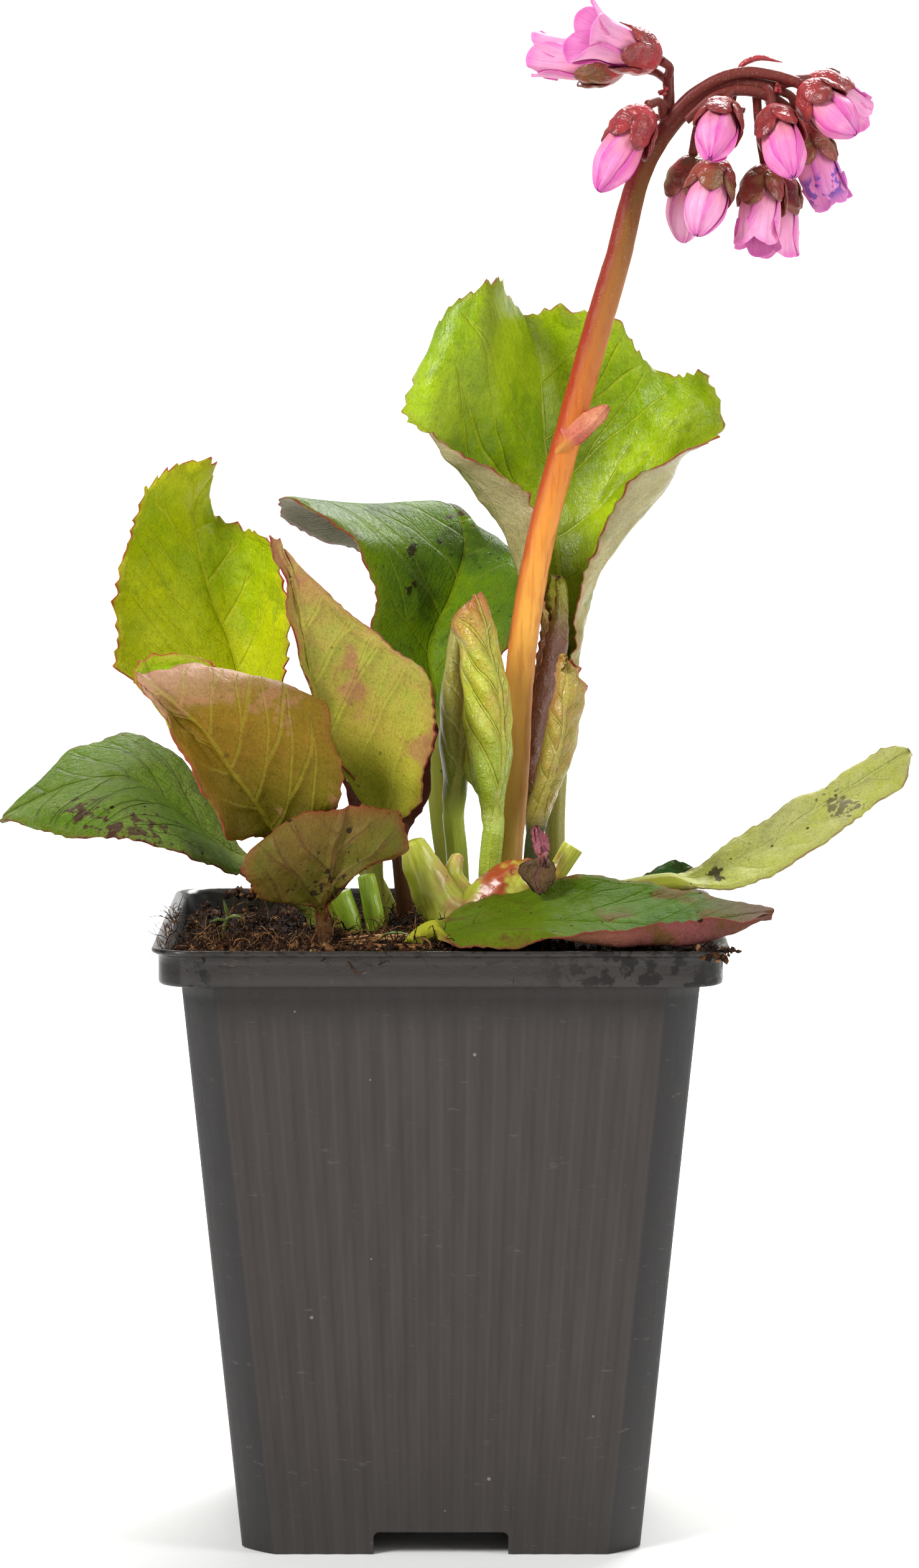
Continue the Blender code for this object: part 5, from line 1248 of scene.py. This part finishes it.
# Two old leaves behind the crown: a dark maroon one and a small green one on the rim.
grow_leaf(
    "leaf_maroon_back", "leaf_maroon",
    leaf_material(
        "leaf_maroon_skin", "4a2a22 5a3428 6a4434 543028 462822 6a4434 6a2a28 6a4434 302018",
        blotches=0.4, grime=0.2, gloss=0.3),
    radius=1.4, stalk=[(-9, -7, 90), (-9, -7, 101), (-9.5, -7, 108), (-10, -7, 113)],
    blade=[((-18, -7, 119), (-11, -5, 121), (-6, -7, 119)),
           ((-19, -7, 129), (-10, -4, 131), (-4, -6, 130)),
           ((-14, -6, 138), (-8, -4, 140), (-5, -5, 139))],
    bow=(0.2, 0.2), rows=70, columns=51, seed=41, vein_gap=6.0, tooth=0.3)
grow_leaf(
    "leaf_small_back", "leaf_green",
    leaf_material(
        "leaf_small_back_skin", "2f5a20 3c6a2c 6a8a3c 5a7a3c 4a6a30 7a944c 6a4a34 6a7a34 4a3a24",
        blotches=0.3, grime=0.3, gloss=0.3),
    radius=1.2, stalk=[(20, 15, 90), (22, 16, 101), (27, 18, 103)],
    blade=[((31, 20, 105), (31, 19, 103), (32, 16, 103)),
           ((36, 23, 107), (36, 20, 104), (36, 16, 103)),
           ((38, 22, 107), (40, 20, 106), (39, 17, 104))],
    bow=(0.2, 0.2), rows=60, columns=41, seed=43, vein_gap=5.0, tooth=0.35, wave=0.2)

# The crown is the creeping rootstock: a pale leaf base on the left, a swollen lobe with red
# patches and old scars on the right, and a cut stalk behind it. Two more cut stalks stand in
# the compost on the left.
CROWN_LIMBS = [
    dict(points=[(1.5, -19, 96), (-1.0, -18, 101), (-5.0, -17.5, 108), (-8.0, -17, 114.8)],
         radii=[3.1, 3.9, 3.4, 2.2], lump=0.10, seed=3, blunt=0.8),
    dict(points=[(0.0, -18, 99), (4.0, -17, 103.5), (9.0, -16, 107), (14.2, -14, 108.5)],
         radii=[3.0, 4.3, 4.4, 2.8], lump=0.11, seed=5, blunt=2.4),
    dict(points=[(2.5, -16, 104), (-1.0, -14.5, 108.5), (-0.2, -13.5, 112.2)],
         radii=[1.9, 1.7, 0.9], lump=0.05, seed=6, blunt=0.6),
    dict(points=[(13.0, -13, 104), (16.0, -12.5, 109), (18.6, -12, 113.2)],
         radii=[1.6, 1.6, 1.8], lump=0.03, seed=7, blunt=0.05),
]
STUB_LIMBS = {
    "cut_stub_wide": dict(points=[(-16.5, -20, 92), (-17.5, -20, 101), (-19.5, -20, 106.5)],
                          radii=[1.7, 1.7, 1.9], lump=0.04, seed=8, blunt=0.05),
    "cut_stub_split": dict(points=[(-12.6, -20, 92), (-13.8, -20, 102), (-15.2, -20, 109.5)],
                           radii=[1.6, 1.6, 1.5], lump=0.10, seed=9, blunt=0.3),
}


def flesh_material(name, pale, deep, flush, flushes, where=(0.006, 0.016), gloss=0.14):
    """Juicy plant flesh: two greens in soft streaks, with a flush of red between two places in X."""
    made, place, shader = new_material(name, Specular_IOR_Level=0.5, Subsurface_Weight=0.08,
                                      Subsurface_Radius=(0.003, 0.0015, 0.0006), Subsurface_Scale=0.5)
    streak = cloud(stretched(marked(place.tree, "limb"), (0.4, 3.0, 0.12)), 1.6, 2.0, 0.5)
    colour = blend(between(streak, 0.3, 0.7), paint(pale), paint(deep))
    across = split(place)[0]
    zone = between(across, where[0] - 0.005, where[0]) * between(across, where[1] + 0.003, where[1])
    patch = between(cloud(place, 190.0, 3.0, 0.6), 0.36, 0.56)
    red = zone * patch * flushes
    colour = blend(red, colour, paint(flush))
    blush = between(across, -0.0055, -0.0015) * between(across, 0.005, 0.0015)
    colour = tone(colour, blush * patch, 0.7 * flushes, "d4906c")
    ridge = between(abs(cloud(place, 130.0, 2.0) - 0.5), 0.035, 0.0)
    colour = tone(colour, ridge * zone, 0.5, "c8785a")
    tan = between(cloud(place, 420.0, 4.0, 0.7), 0.58, 0.72)
    colour = tone(colour, tan, 0.25, "a8824a")
    pore = put("TexVoronoi", {"Vector": place, "Scale": 230.0}, "Distance")
    ring = between(pore, 0.22, 0.17) * between(pore, 0.08, 0.13)
    colour = tone(colour, ring * red, 0.7, "7a3420")
    colour = tone(colour, specks(place.tree, 480.0, 0.12, 0.12), 0.5, "3a2a18")
    height = cloud(place, 420.0, 3.0) + streak * 0.6 - ring * red * 0.6
    wire(shader, colour, streak * 0.2 + gloss, height, 0.00016)
    return made


crown_skin = flesh_material("crown_skin", "e0e068", "b4bc34", "a8381f", 0.95, (0.005, 0.0145))
lobes = [pipe(sides=30, steps=44, **limb) for limb in CROWN_LIMBS]
dress("crown", "crown_lobes", lobes, crown_skin)
stub_skin = flesh_material("stub_skin", "b8d440", "98bc34", "a8482f", 0.0)
for name, limb in STUB_LIMBS.items():
    dress(name, name + "_flesh", [pipe(sides=24, steps=30, **limb)], stub_skin)


# The withered scale, an old bract gone dark and papery, hangs over the right lobe, with a
# shrivelled pink tuft above it.
scale_skin = leaf_material(
    "scale_skin", "4a2a30 5f4a2a 6a3a40 54303a 3a2228 6a3a40 2a181a 8a4a4a 2a1c18",
    blotches=0.5, grime=0.3, gloss=0.42, depth=0.0005)
grow_leaf(
    "withered_scale", "scale_dry", scale_skin, name="scale_blade",
    radius=0.5, stalk=[(14, -16, 112.3), (14, -18.5, 112.6), (13.6, -21, 112.4)],
    blade=[((15.5, -22.5, 111.5), (13.5, -23, 111.5), (10.5, -23, 112)),
           ((15.5, -24, 109.5), (12.5, -24.5, 109.5), (9.5, -24, 110.5)),
           ((14, -25, 107.3), (13, -25.5, 107), (11.5, -25, 108))],
    cup=(0.2, 0.2), rows=50, columns=41, seed=51, vein_gap=3.0, crinkle=0.5,
    tooth=0.4, tooth_gap=1.5, wave=0.3, rib_depth=0.3)
tuft_skin = leaf_material(
    "tuft_skin", "b8707c 8f4450 c88a90 a85f6c 7c3844 c08088 6a2a34 8a4a4a 5a2a30",
    blotches=0.4, grime=0.1, gloss=0.36, depth=0.0005)
grow_leaf(
    "withered_scale", "scale_dry", tuft_skin, name="withered_tuft",
    radius=0.5, stalk=[(14.5, -16, 109.5), (14.2, -17, 110.8), (13.8, -17.6, 111.8)],
    blade=[((12.2, -18, 112.6), (13.2, -18.6, 112.4), (14.8, -18, 112.2)),
           ((11.8, -17.6, 114.6), (13.0, -18.4, 114.4), (14.8, -17.4, 114.0)),
           ((11.6, -17.4, 116.4), (12.4, -18.0, 116.8), (14.0, -17.2, 116.0))],
    cup=(0.3, 0.3), bow=(0.2, 0.2), rows=44, columns=37, seed=53, vein_gap=2.0, crinkle=0.5,
    tooth=0.4, tooth_gap=1.2, wave=0.3, rib_depth=0.2)


# The flower stem is one thick juicy stalk, tan at the foot, orange half way and dark maroon
# over the arch, dotted with pale glands. It carries a side branch, a cupped bract, a strap
# bract on the arch and a short stalk for every bloom.
STEM_COLOUR_FROM = 0.1
STEM_COLOUR_TO = 0.242
STEM_LINE = [(8, 0, 88), (8, 0, 111), (9, 0, 123), (10, 0, 141), (12.7, 0, 159.5), (18.4, 0, 182),
             (25.6, 0, 207.5), (31.8, 0, 227), (37.5, 0, 233.8), (45.5, 0, 237.6), (51.5, 0, 237)]
STEM_RADII = [2.5, 2.5, 2.45, 2.4, 2.35, 2.3, 2.2, 1.7, 1.5, 1.3, 1.1]
BRANCH_LINE = [(33.5, 0, 229), (34.2, 0, 233), (34.2, 0.5, 239)]
BRANCH_RADII = [1.3, 1.0, 0.95]

# The arch is a bundle: two stalks of later blooms lie along the stem, and knots of tiny buds
# sit where they part.
STRANDS = [
    ([(33.5, -1.1, 231), (38.5, -1.5, 236), (45.5, -1.6, 239.2), (51.5, -1.5, 238.8), (55.5, -2.2, 237.6)],
     [0.95, 0.95, 0.92, 0.9, 0.9]),
    ([(37, -1, 231.5), (42, -1.3, 235.6), (48, -1.2, 236.2), (52.6, -0.6, 234.2), (55.2, 0.9, 231.2)],
     [0.8, 0.85, 0.9, 1.0, 1.3]),
    ([(44.3, -1.2, 234.0), (45.4, -1.6, 233.4), (46.6, -2.0, 233.1)], [0.45, 0.45, 0.5]),
]

# bloom: start and bend of its stalk, foot of its calyx, tip of its petals, flare of the mouth,
# turn about its own axis, petal skin and sepal skin
BLOOMS = [
    ((34.2, 0.5, 238), (32, 3.5, 239.6), (26.5, 6, 240.4), (11.5, 8, 242.8), 1.05, 10, "fresh", "olive"),
    ((34.2, 0.5, 238.5), (34.3, -1, 240.2), (32, -2.5, 241.5), (19, -7, 246), 1.50, 40, "fresh", "red"),
    ((33.5, 0, 231.5), (32.5, -3.5, 234.5), (30.2, -5.5, 233), (22.6, -8, 219.8), 0.70, 0, "bud", "red"),
    ((46, 0, 237.5), (44.5, -1.5, 236.2), (43, -4, 233.6), (40.5, -15, 225), 0.60, 20, "bud", "red"),
    ((49.5, 0, 237.3), (50.8, -1.8, 236), (51.2, -4, 232.8), (54, -13, 222), 0.65, 50, "bud", "red"),
    ((45, 0, 237.5), (44, 0.6, 231), (42.2, -5, 224.5), (38.5, -9, 212.6), 0.75, 30, "fresh", "olive"),
    ((42, 0, 236), (39.5, 4.5, 231.5), (38.4, 6, 225.2), (37, 8, 211.5), 0.70, 5, "fresh", "olive"),
    ((48.5, 0, 237.3), (49.2, 0.8, 230), (50, 0, 223.5), (48.5, -4, 210), 0.95, 50, "fresh", "olive"),
    ((50, 0.5, 237.2), (52, 6.5, 231), (52.5, 8.5, 223.2), (53, 9.5, 209), 0.90, 45, "fresh", "olive"),
    ((51.5, 0, 237), (54.5, -1.5, 237.6), (56.5, -3, 236.6), (64.5, -8, 229), 0.65, 0, "bud", "red"),
    ((51.5, 0, 237), (55, 3, 238.3), (58, 5.5, 238), (67, 10.5, 232), 0.80, 25, "fresh", "red"),
    ((51, 0, 236.8), (54.5, 0.8, 235.3), (55.6, 1.5, 231), (61.8, 2.5, 217), 0.80, 35, "marked", "olive"),
]
CALYX_FOOT = 0.8
BLOOM_STALK_RADII = [0.8, 0.75, 0.85]

stem_skin, place, shader = new_material("stem_skin", Specular_IOR_Level=0.28, Subsurface_Weight=0.06,
                                       Subsurface_Radius=(0.003, 0.001, 0.0004), Subsurface_Scale=0.5)
_, facing, _ = split(marked(place.tree, "limb"))
rise = put("MapRange", {"Value": split(place)[2], "From Min": STEM_COLOUR_FROM,
                        "From Max": STEM_COLOUR_TO})
body = ladder(rise, [(0.0, "c8b45c"), (0.1, "dcb458"), (0.24, "f8be5c"), (0.34, "fcb850"),
                     (0.45, "f09c40"), (0.58, "d07430"), (0.72, "a86c34"), (0.84, "84602f"),
                     (0.93, "7c4038")])
left_edge = ladder(rise, [(0.0, "b48a50"), (0.15, "d07c38"), (0.4, "c05428"), (0.6, "ac3a1c"),
                          (0.75, "943222"), (0.9, "762a28")])
streak = cloud(stretched(place, (1.0, 1.0, 0.1)), 1000.0, 3.0, 0.6)
side = facing + (streak - 0.5) * 0.9 + (0.5 - rise)
colour = blend(between(side, -0.2, -0.95), body, left_edge)
colour = tone(colour, between(side, 0.6, 1.1), 0.5, "a8502a")
colour = blend(between(streak, 0.48, 0.66) * 0.35, colour, left_edge)
glands = specks(place.tree, 2600.0, 0.26, 0.45)
colour = tone(colour, glands, 0.18, "f0c890")
wire(shader, colour, streak * 0.15 + 0.34, glands * 0.5 + streak * 0.5, 0.00015)

limbs = [pipe(STEM_LINE, STEM_RADII, 36, 240, 0.025, 61),
         pipe(BRANCH_LINE, BRANCH_RADII, 20, 30, 0.05, 62)]
for number, (start, bend, foot, tip, *_) in enumerate(BLOOMS):
    end = np.array(foot) - unit(np.subtract(tip, foot)) * (CALYX_FOOT + 0.2)
    limbs.append(pipe([start, bend, end], BLOOM_STALK_RADII, 14, 24, 0.06, 70 + number))
for points, radii in STRANDS:
    limbs.append(pipe(points, radii, 18, 60, 0.05, 92))
dress("flower_stem", "flower_stalks", limbs, stem_skin)

bract_skin = leaf_material(
    "bract_skin", "d88a6c d8a070 e0a080 cc5a54 d87c68 d88070 b02c3c d08a44 a83c3c",
    foot="b83038", foot_tint=0.6, blotches=0.4, grime=0.5, gloss=0.34, vein_show=0.25)
grow_leaf(
    "flower_stem", "stem_flesh", bract_skin, name="stem_bract",
    radius=0.8, stalk=[(15.6, -0.6, 176.5), (16.6, -1.8, 177.6), (17.6, -2.6, 178.6)],
    blade=[((16.6, -1.6, 181.0), (19.0, -3.6, 180.0), (19.6, -2.2, 178.8)),
           ((18.4, -1.4, 183.0), (21.2, -4.0, 181.6), (22.2, -2.0, 181.0)),
           ((21.0, -1.8, 184.2), (23.0, -3.8, 183.6), (24.2, -2.4, 182.8)),
           ((23.6, -2.6, 185.2), (24.4, -3.0, 185.2), (24.8, -2.6, 184.6))],
    cup=(0.25, 0.25), rows=44, columns=33, seed=55, vein_gap=3.0, crinkle=0.12,
    tooth=0.15, tooth_gap=1.2, wave=0.15, rib_depth=0.3)


# The blooms are bells of five broad rounded petals that overlap like a pinwheel, in a cup of
# five glossy dark sepals. Closed buds draw their petals together at the tip, and open bells
# end in a ruffled lip. Each follows the bell of its solid, with its own ripple and veins.
BLOOM_RADIUS = 3.4
CALYX_SHARE = 0.52
LOBES = 5
SHUT_FLARE = 0.78
PETAL_THICK = 0.12
SEPAL_THICK = 0.25
CUP_SIDES = 24

# points along and across one petal and one sepal
PETAL_STEPS = (36, 29)
SEPAL_STEPS = (26, 21)

# rings of the calyx cup: place along the bloom from its foot, and radius
CUP_LEVELS = [(-1.0, 0.55), (-0.8, 1.0), (-0.45, 1.7), (0.1, 2.35), (0.9, 3.0), (1.9, 3.4), (2.4, 3.2),
              (2.2, 2.2)]


def bloom_frame(foot, tip, turn):
    """Directions along and across one bloom, turned about its own axis, and its length."""
    foot, tip = np.asarray(foot, float), np.asarray(tip, float)
    length = np.linalg.norm(tip - foot)
    axis = (tip - foot) / length
    across = unit(np.cross(axis, (0.3, 1.0, 0.2)))
    out = np.cross(axis, across)
    c, s = math.cos(math.radians(turn)), math.sin(math.radians(turn))
    return foot, axis, across * c + out * s, out * c - across * s, length


def bell(share, flare):
    """Radius of the bell of petals, by its share of the bloom's length from the foot.

    It swells as a quarter sine up to 60 % of the length, then eases to its mouth.
    """
    swell = 0.40 + 0.60 * np.sin(np.clip(share / 0.6, 0.0, 1.0) * math.pi / 2)
    mouth = np.clip((share - 0.6) / 0.4, 0.0, 1.0)
    return BLOOM_RADIUS * (swell + (flare - 1.0) * mouth**2 * (3 - 2 * mouth))


def place_on(bloom, distance, radius, angle):
    """Points at a distance along a bloom, a radius from its axis and an angle about it."""
    foot, axis, across, out, _ = bloom
    return (foot + axis * distance[..., None] + across * (radius * np.cos(angle))[..., None]
            + out * (radius * np.sin(angle))[..., None])


def thin_sheet(skins, marks):
    """A closed thin sheet from its outer and inner grids. The last mark is 0 outside and 1 inside."""
    faces = [face[:, ::-1] for face in sheet_faces(*skins[0].shape[:2])]
    sides = [np.concatenate([marks, np.full_like(marks[..., :1], side)], axis=-1) for side in (0.0, 1.0)]
    return np.reshape(skins, (-1, 3)), faces, {"leaf_place": np.reshape(sides, (-1, 3))}


def petal(bloom, flare, number, seed):
    """One petal: narrow at its claw, broad past the middle and rounded at its tip.

    It lies on the bell, one edge over the next petal. In a closed bud the bell ends in a round
    dome, as the root of one less the square of the share beyond its shoulder. In an open one
    the tip bends outwards and its lip ripples as a sine across.
    """
    rng = np.random.default_rng(seed * 10 + number)
    length = bloom[4]
    shut = flare < SHUT_FLARE
    u = np.linspace(0.0, 1.0, PETAL_STEPS[0])[:, None]
    t = np.linspace(-1.0, 1.0, PETAL_STEPS[1])[None, :]
    spread = np.interp(u, [0.0, 0.2, 0.45, 0.75, 1.0], [0.34, 0.60, 0.84, 0.96, 0.86 if shut else 1.0])
    reach = 0.92 if shut else 0.93 - 0.07 * rng.random()
    rounding = 0.08 if shut else 0.34
    share = 0.08 + u * (reach - rounding * (1.0 - np.sqrt(1.0 - 0.98 * t**2)) * u**2)
    angle = 2 * math.pi * number / LOBES + spread * t + 0.06 * rng.normal()
    lap = 0.24 * t * smooth_step(share, 0.12, 0.4)
    crease = 0.18 * np.exp(-(t / 0.12) ** 2) * u
    phase = rng.uniform(0, 6)
    if shut:
        dome = np.sqrt(1.0 - 0.998 * np.clip((share - 0.66) / 0.34, 0.0, 1.0) ** 2)
        radius = (bell(share, flare) + lap) * dome + 0.22 * np.sin(2.2 * t * math.pi + phase) * u**2 * dome
    else:
        ruffle = 0.20 * np.sin(2.2 * t * math.pi + phase) + 0.07 * np.sin(4.6 * t * math.pi + 2 * phase)
        curl = (0.1 + 0.7 * rng.random()) * smooth_step(u, 0.75, 1.0) ** 2
        radius = bell(share, flare) + lap + ruffle * u**3 + curl
    radius = radius - crease
    skins = [place_on(bloom, length * share, radius - inset, angle) for inset in (0.0, PETAL_THICK)]
    return thin_sheet(skins, np.stack(np.broadcast_arrays(share, t + 0 * u), axis=-1))


def sepal(bloom, flare, number, seed):
    """One sepal: it hugs the bell, widest past its middle, with a blunt rounded tip.

    Below a fifth of the bloom's length it closes as a quarter circle round the foot.
    """
    rng = np.random.default_rng(seed * 10 + number + 500)
    length = bloom[4]
    u = np.linspace(0.0, 1.0, SEPAL_STEPS[0])[:, None]
    t = np.linspace(-1.0, 1.0, SEPAL_STEPS[1])[None, :]
    spread = np.interp(u, [0.0, 0.4, 0.75, 1.0], [0.60, 0.74, 0.72, 0.60])
    reach = CALYX_SHARE * (1.0 - 0.20 * rng.random())
    share = u * reach * (1.0 - 0.46 * (1.0 - np.sqrt(1.0 - 0.98 * t**2)) * u**2)
    angle = 2 * math.pi * (number + 0.5) / LOBES + spread * t + 0.3
    below = np.clip(1.0 - share / 0.2, 0.0, 1.0)
    radius = bell(np.maximum(share, 0.25), flare)
    radius = radius * np.interp(share, [0.0, 0.25, 1.0], [0.94, 1.0, 1.0]) + 1.0
    radius = radius * np.sqrt(1.0 - 0.90 * below**2) + 0.35 * t * smooth_step(u, 0.1, 0.5)
    radius = radius + 0.3 * rng.random() * u**3 - 0.35 * smooth_step(u, 0.7, 1.0) - 0.25 * t**2 * u
    outer = place_on(bloom, length * share, radius + SEPAL_THICK, angle)
    lumps = 0.10 * ripples(outer, (2.4, 1.2), seed + number)
    edge = np.minimum(1.0 - np.abs(t), (1.0 - u) * 1.3)
    thick = SEPAL_THICK * (0.3 + 0.7 * np.sqrt(np.clip(edge / 0.25, 0.0, 1.0)))
    outer = place_on(bloom, length * share, radius + thick + lumps, angle)
    skins = [outer, place_on(bloom, length * share, radius - thick, angle)]
    return thin_sheet(skins, np.stack(np.broadcast_arrays(u + 0 * t, t + 0 * u), axis=-1))


def calyx_cup(bloom, seed):
    """The cup that the sepals grow from: rings round the bloom's axis from its stalk upwards."""
    angle = 2 * math.pi * np.arange(CUP_SIDES) / CUP_SIDES
    lobed = 1 + 0.04 * np.cos(LOBES * angle + seed)
    points = np.concatenate([place_on(bloom, np.full(CUP_SIDES, along), radius * lobed, angle)
                             for along, radius in CUP_LEVELS])
    points = points + 0.06 * ripples(points, (2.0,), seed)[:, None]
    faces = [face[:, ::-1] for face in tube_faces(len(CUP_LEVELS), CUP_SIDES)]
    return points, faces, {"leaf_place": np.zeros((len(points), 3))}


def petal_material(name, throat, middle, edge, inside, spots=0.0):
    """Petal skin: pale with a rosy throat, deeper edges and fine forking veins along it, and a deeper
    magenta on the inner face that is partly its own colour and partly painted shade inside the bell.
    """
    made, place, shader = new_material(name, Specular_IOR_Level=0.25, Subsurface_Weight=0.12,
                                      Subsurface_Radius=(0.002, 0.001, 0.0015), Subsurface_Scale=0.6)
    share, across, inner = split(marked(place.tree, "leaf_place"))
    fold = cloud(place, 260.0, 3.0, 0.55)
    colour = blend(between(share, 0.34, 0.72), paint(throat), paint(middle))
    far = calc("MAXIMUM", between(abs(across), 0.55, 1.0), between(share, 0.84, 1.0))
    colour = tone(colour, far, fold + 0.25, edge)
    colour = tone(colour, between(fold, 0.46, 0.72), 0.3, "ffcdec")
    fan = (across + cloud(place, 300.0, 2.0) * 0.3) / (share * 0.6 + 0.5)
    vein = between(cloud(put("CombineXYZ", {0: fan * 8.0, 1: share * 1.2}), 1.6, 3.0, 0.6), 0.55, 0.64)
    colour = tone(colour, vein, between(share, 0.9, 0.3) * 0.22 + 0.06, "d8408c")
    # The inner face turns a deeper magenta, strongest deep in the bell: partly the petal's own colour,
    # partly painted shade inside the bell.
    colour = tone(colour, inner, between(share, 1.0, 0.5) * 0.5 + 0.35, inside)
    blot = between(cloud(place, 380.0, 3.0, 0.6), 0.47, 0.52)
    blot = blot * between(share, 0.52, 0.62) * between(share, 0.92, 0.8)
    colour = tone(colour, blot, spots, "7a50b8")
    wire(shader, colour, fold * 0.2 + 0.36, vein * -0.4 + fold * 1.2, 0.0001)
    return made


def sepal_material(name, red, deep, olive, olives):
    """Sepal skin: dark red, pebbled and shiny, with olive where the light comes through, and a painted
    highlight of brighter red low on each sepal.
    """
    made, place, shader = new_material(name, Specular_IOR_Level=0.55)
    up, across, _ = split(marked(place.tree, "leaf_place"))
    patch = cloud(place, 330.0, 3.0, 0.6)
    colour = blend(between(patch, 0.35, 0.65), paint(red), paint(deep))
    green = between(cloud(place, 230.0, 2.0), 0.4, 0.62) * olives
    colour = blend(green, colour, paint(olive))
    # Painted highlight: a brighter red in patches on the lower part of each sepal.
    low = between(up, 0.45, 0.05) * between(patch, 0.4, 0.6)
    colour = tone(colour, low, 0.8, "cc3a48")
    rim = calc("MAXIMUM", between(abs(across), 0.8, 1.0), between(up, 0.9, 1.0))
    colour = tone(colour, rim, 0.6, "5a1c20")
    dent = between(put("TexVoronoi", {"Vector": place, "Scale": 2900.0}, "Distance"), 0.0, 0.7)
    colour = tone(colour, dent, 0.16, "c86a60")
    pucker = cloud(place, 620.0, 2.0, 0.4, 0.6)
    wire(shader, colour, patch * 0.15 + 0.22, dent * -0.12 + pucker * 1.6, 0.00032)
    return made


PETAL_SKINS = {
    "fresh": petal_material("petal_fresh", "fb98b4", "ffaad8", "ee60c0", "d444b0"),
    "bud": petal_material("petal_bud", "fb94a8", "ff8ccc", "e03cb4", "d040b0"),
    "marked": petal_material("petal_marked", "f894c0", "f898d8", "d454c8", "c440b0", 0.9),
}
SEPAL_SKINS = {
    "red": sepal_material("sepal_red", "aa3238", "7c2028", "80443a", 0.35),
    "olive": sepal_material("sepal_olive", "964434", "6c3022", "726632", 0.65),
}
BUD_KNOTS = [(33.4, -1.8, 236.0), (44.3, -2.6, 234.3), (52.1, -2.8, 236.6), (31.6, -1.8, 231.9)]
KNOT_BUDS = 10
KNOT_SPREAD = (0.45, 0.25, 0.4)
knots = []
for place in BUD_KNOTS:
    for _ in range(KNOT_BUDS):
        spot = np.array(place) + chance.normal(size=3) * KNOT_SPREAD
        knots.append(pipe([spot, spot + (0.0, -0.35, 0.25)], [0.34, 0.22], 8, 6, blunt=0.25))
knots.append(pipe([(46.0, 0.2, 238.0), (46.0, 0.0, 240.2), (48.4, 0.0, 241.6), (52.9, 0.0, 241.0)],
                  [0.75, 0.75, 0.95, 0.15], 12, 26, 0.06, 90, flatten=0.6, face=(0.0, 0.0, 1.0)))
dress("flower_stem", "bud_knots", knots, SEPAL_SKINS["red"])

for number, (_, _, foot, tip, flare, turn_by, petal_skin, sepal_skin) in enumerate(BLOOMS, 1):
    bloom = bloom_frame(foot, tip, turn_by)
    petals = [petal(bloom, flare, k, number) for k in range(LOBES)]
    name = f"petals_{number:02d}"
    dress(name, name + "_bell", petals, PETAL_SKINS[petal_skin])
    sepals = [sepal(bloom, flare, k, number) for k in range(LOBES)] + [calyx_cup(bloom, number)]
    name = f"calyx_{number:02d}"
    dress(name, name + "_cup", sepals, SEPAL_SKINS[sepal_skin])


# Two splinters of bark lie on the compost in front of the crown. Each is a bundle of torn
# fibres that stick together along the middle and fray at both ends.
CHIPS = {"bark_chip_back": ((-13.0, -28.0), 5.5, 14.0, 30),
         "bark_chip_front": ((-10.0, -36.5), 4.5, -14.0, 24)}
bark_skin = loose_material("bark_skin", 0.2, [(0.0, "6e4728"), (0.4, "a5703f"), (0.8, "c79660"),
                                              (1.0, "d8b07c")], (1400.0, 0.45, 0.75), "7a5230", 3000.0)
for name, (centre, reach, heading, strands) in CHIPS.items():
    way = np.array([math.cos(math.radians(heading)), math.sin(math.radians(heading)), 0.0])
    level = float(compost_level(centre[0], centre[1])) + 1.2
    splinters = []
    for _ in range(strands):
        middle = np.array([*centre, level]) + chance.normal(size=3) * (0.35, 0.5, 0.35)
        lean_by = chance.normal(size=3) * (0.10, 0.14, 0.05)
        half = reach * chance.uniform(0.6, 1.05)
        line = [middle + (way + lean_by) * half * share + chance.normal(size=3) * 0.12
                for share in (-1, -0.4, 0.4, 1)]
        points, faces, _ = pipe(line, [0.08, 0.24, 0.26, 0.07], 6, 10, flatten=0.6)
        splinters.append((points, faces, {"tint": np.tile(chance.uniform(0, 1, 3), (len(points), 1))}))
    dress(name, name + "_fibres", splinters, bark_skin)


# A seedling with three small leaves, and one fallen leaf, on the compost. They are no part of
# the solid, so they stand for nothing in it.
seedling_skin = flesh_material("seedling_skin", "7a8c44", "5f7438", "a8482f", 0.0)
SEED_LEAVES = [
    ([(-37.6, -19, 102.3), (-37.9, -19.5, 103.6), (-38.3, -20, 105.2)], [0.2, 0.3, 0.08]),
    ([(-37.6, -19, 102.3), (-36.6, -19.6, 102.6), (-35.4, -20, 102.5)], [0.2, 0.32, 0.12]),
    ([(-38.0, -19, 101.8), (-39.3, -19.3, 102.0), (-40.6, -19.6, 101.6)], [0.16, 0.26, 0.08]),
]
sprigs = [
    pipe([(-38.5, -18, 98.5), (-38.2, -18.5, 101), (-37.6, -19, 102.4)], [0.3, 0.3, 0.3], 8, 12),
    *[pipe(line, radii, 10, 16, flatten=0.35) for line, radii in SEED_LEAVES],
    pipe([(-13.0, -33, 100.2), (-11.6, -33.5, 101.4), (-9.6, -34, 101.6), (-7.8, -34, 101.2)],
         [0.2, 0.8, 0.8, 0.15], 12, 18, flatten=0.25, face=(0.0, 0.0, 1.0)),
]
seedling = new_mesh("seedling", *gather(sprigs), seedling_skin)
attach(seedling, "root")
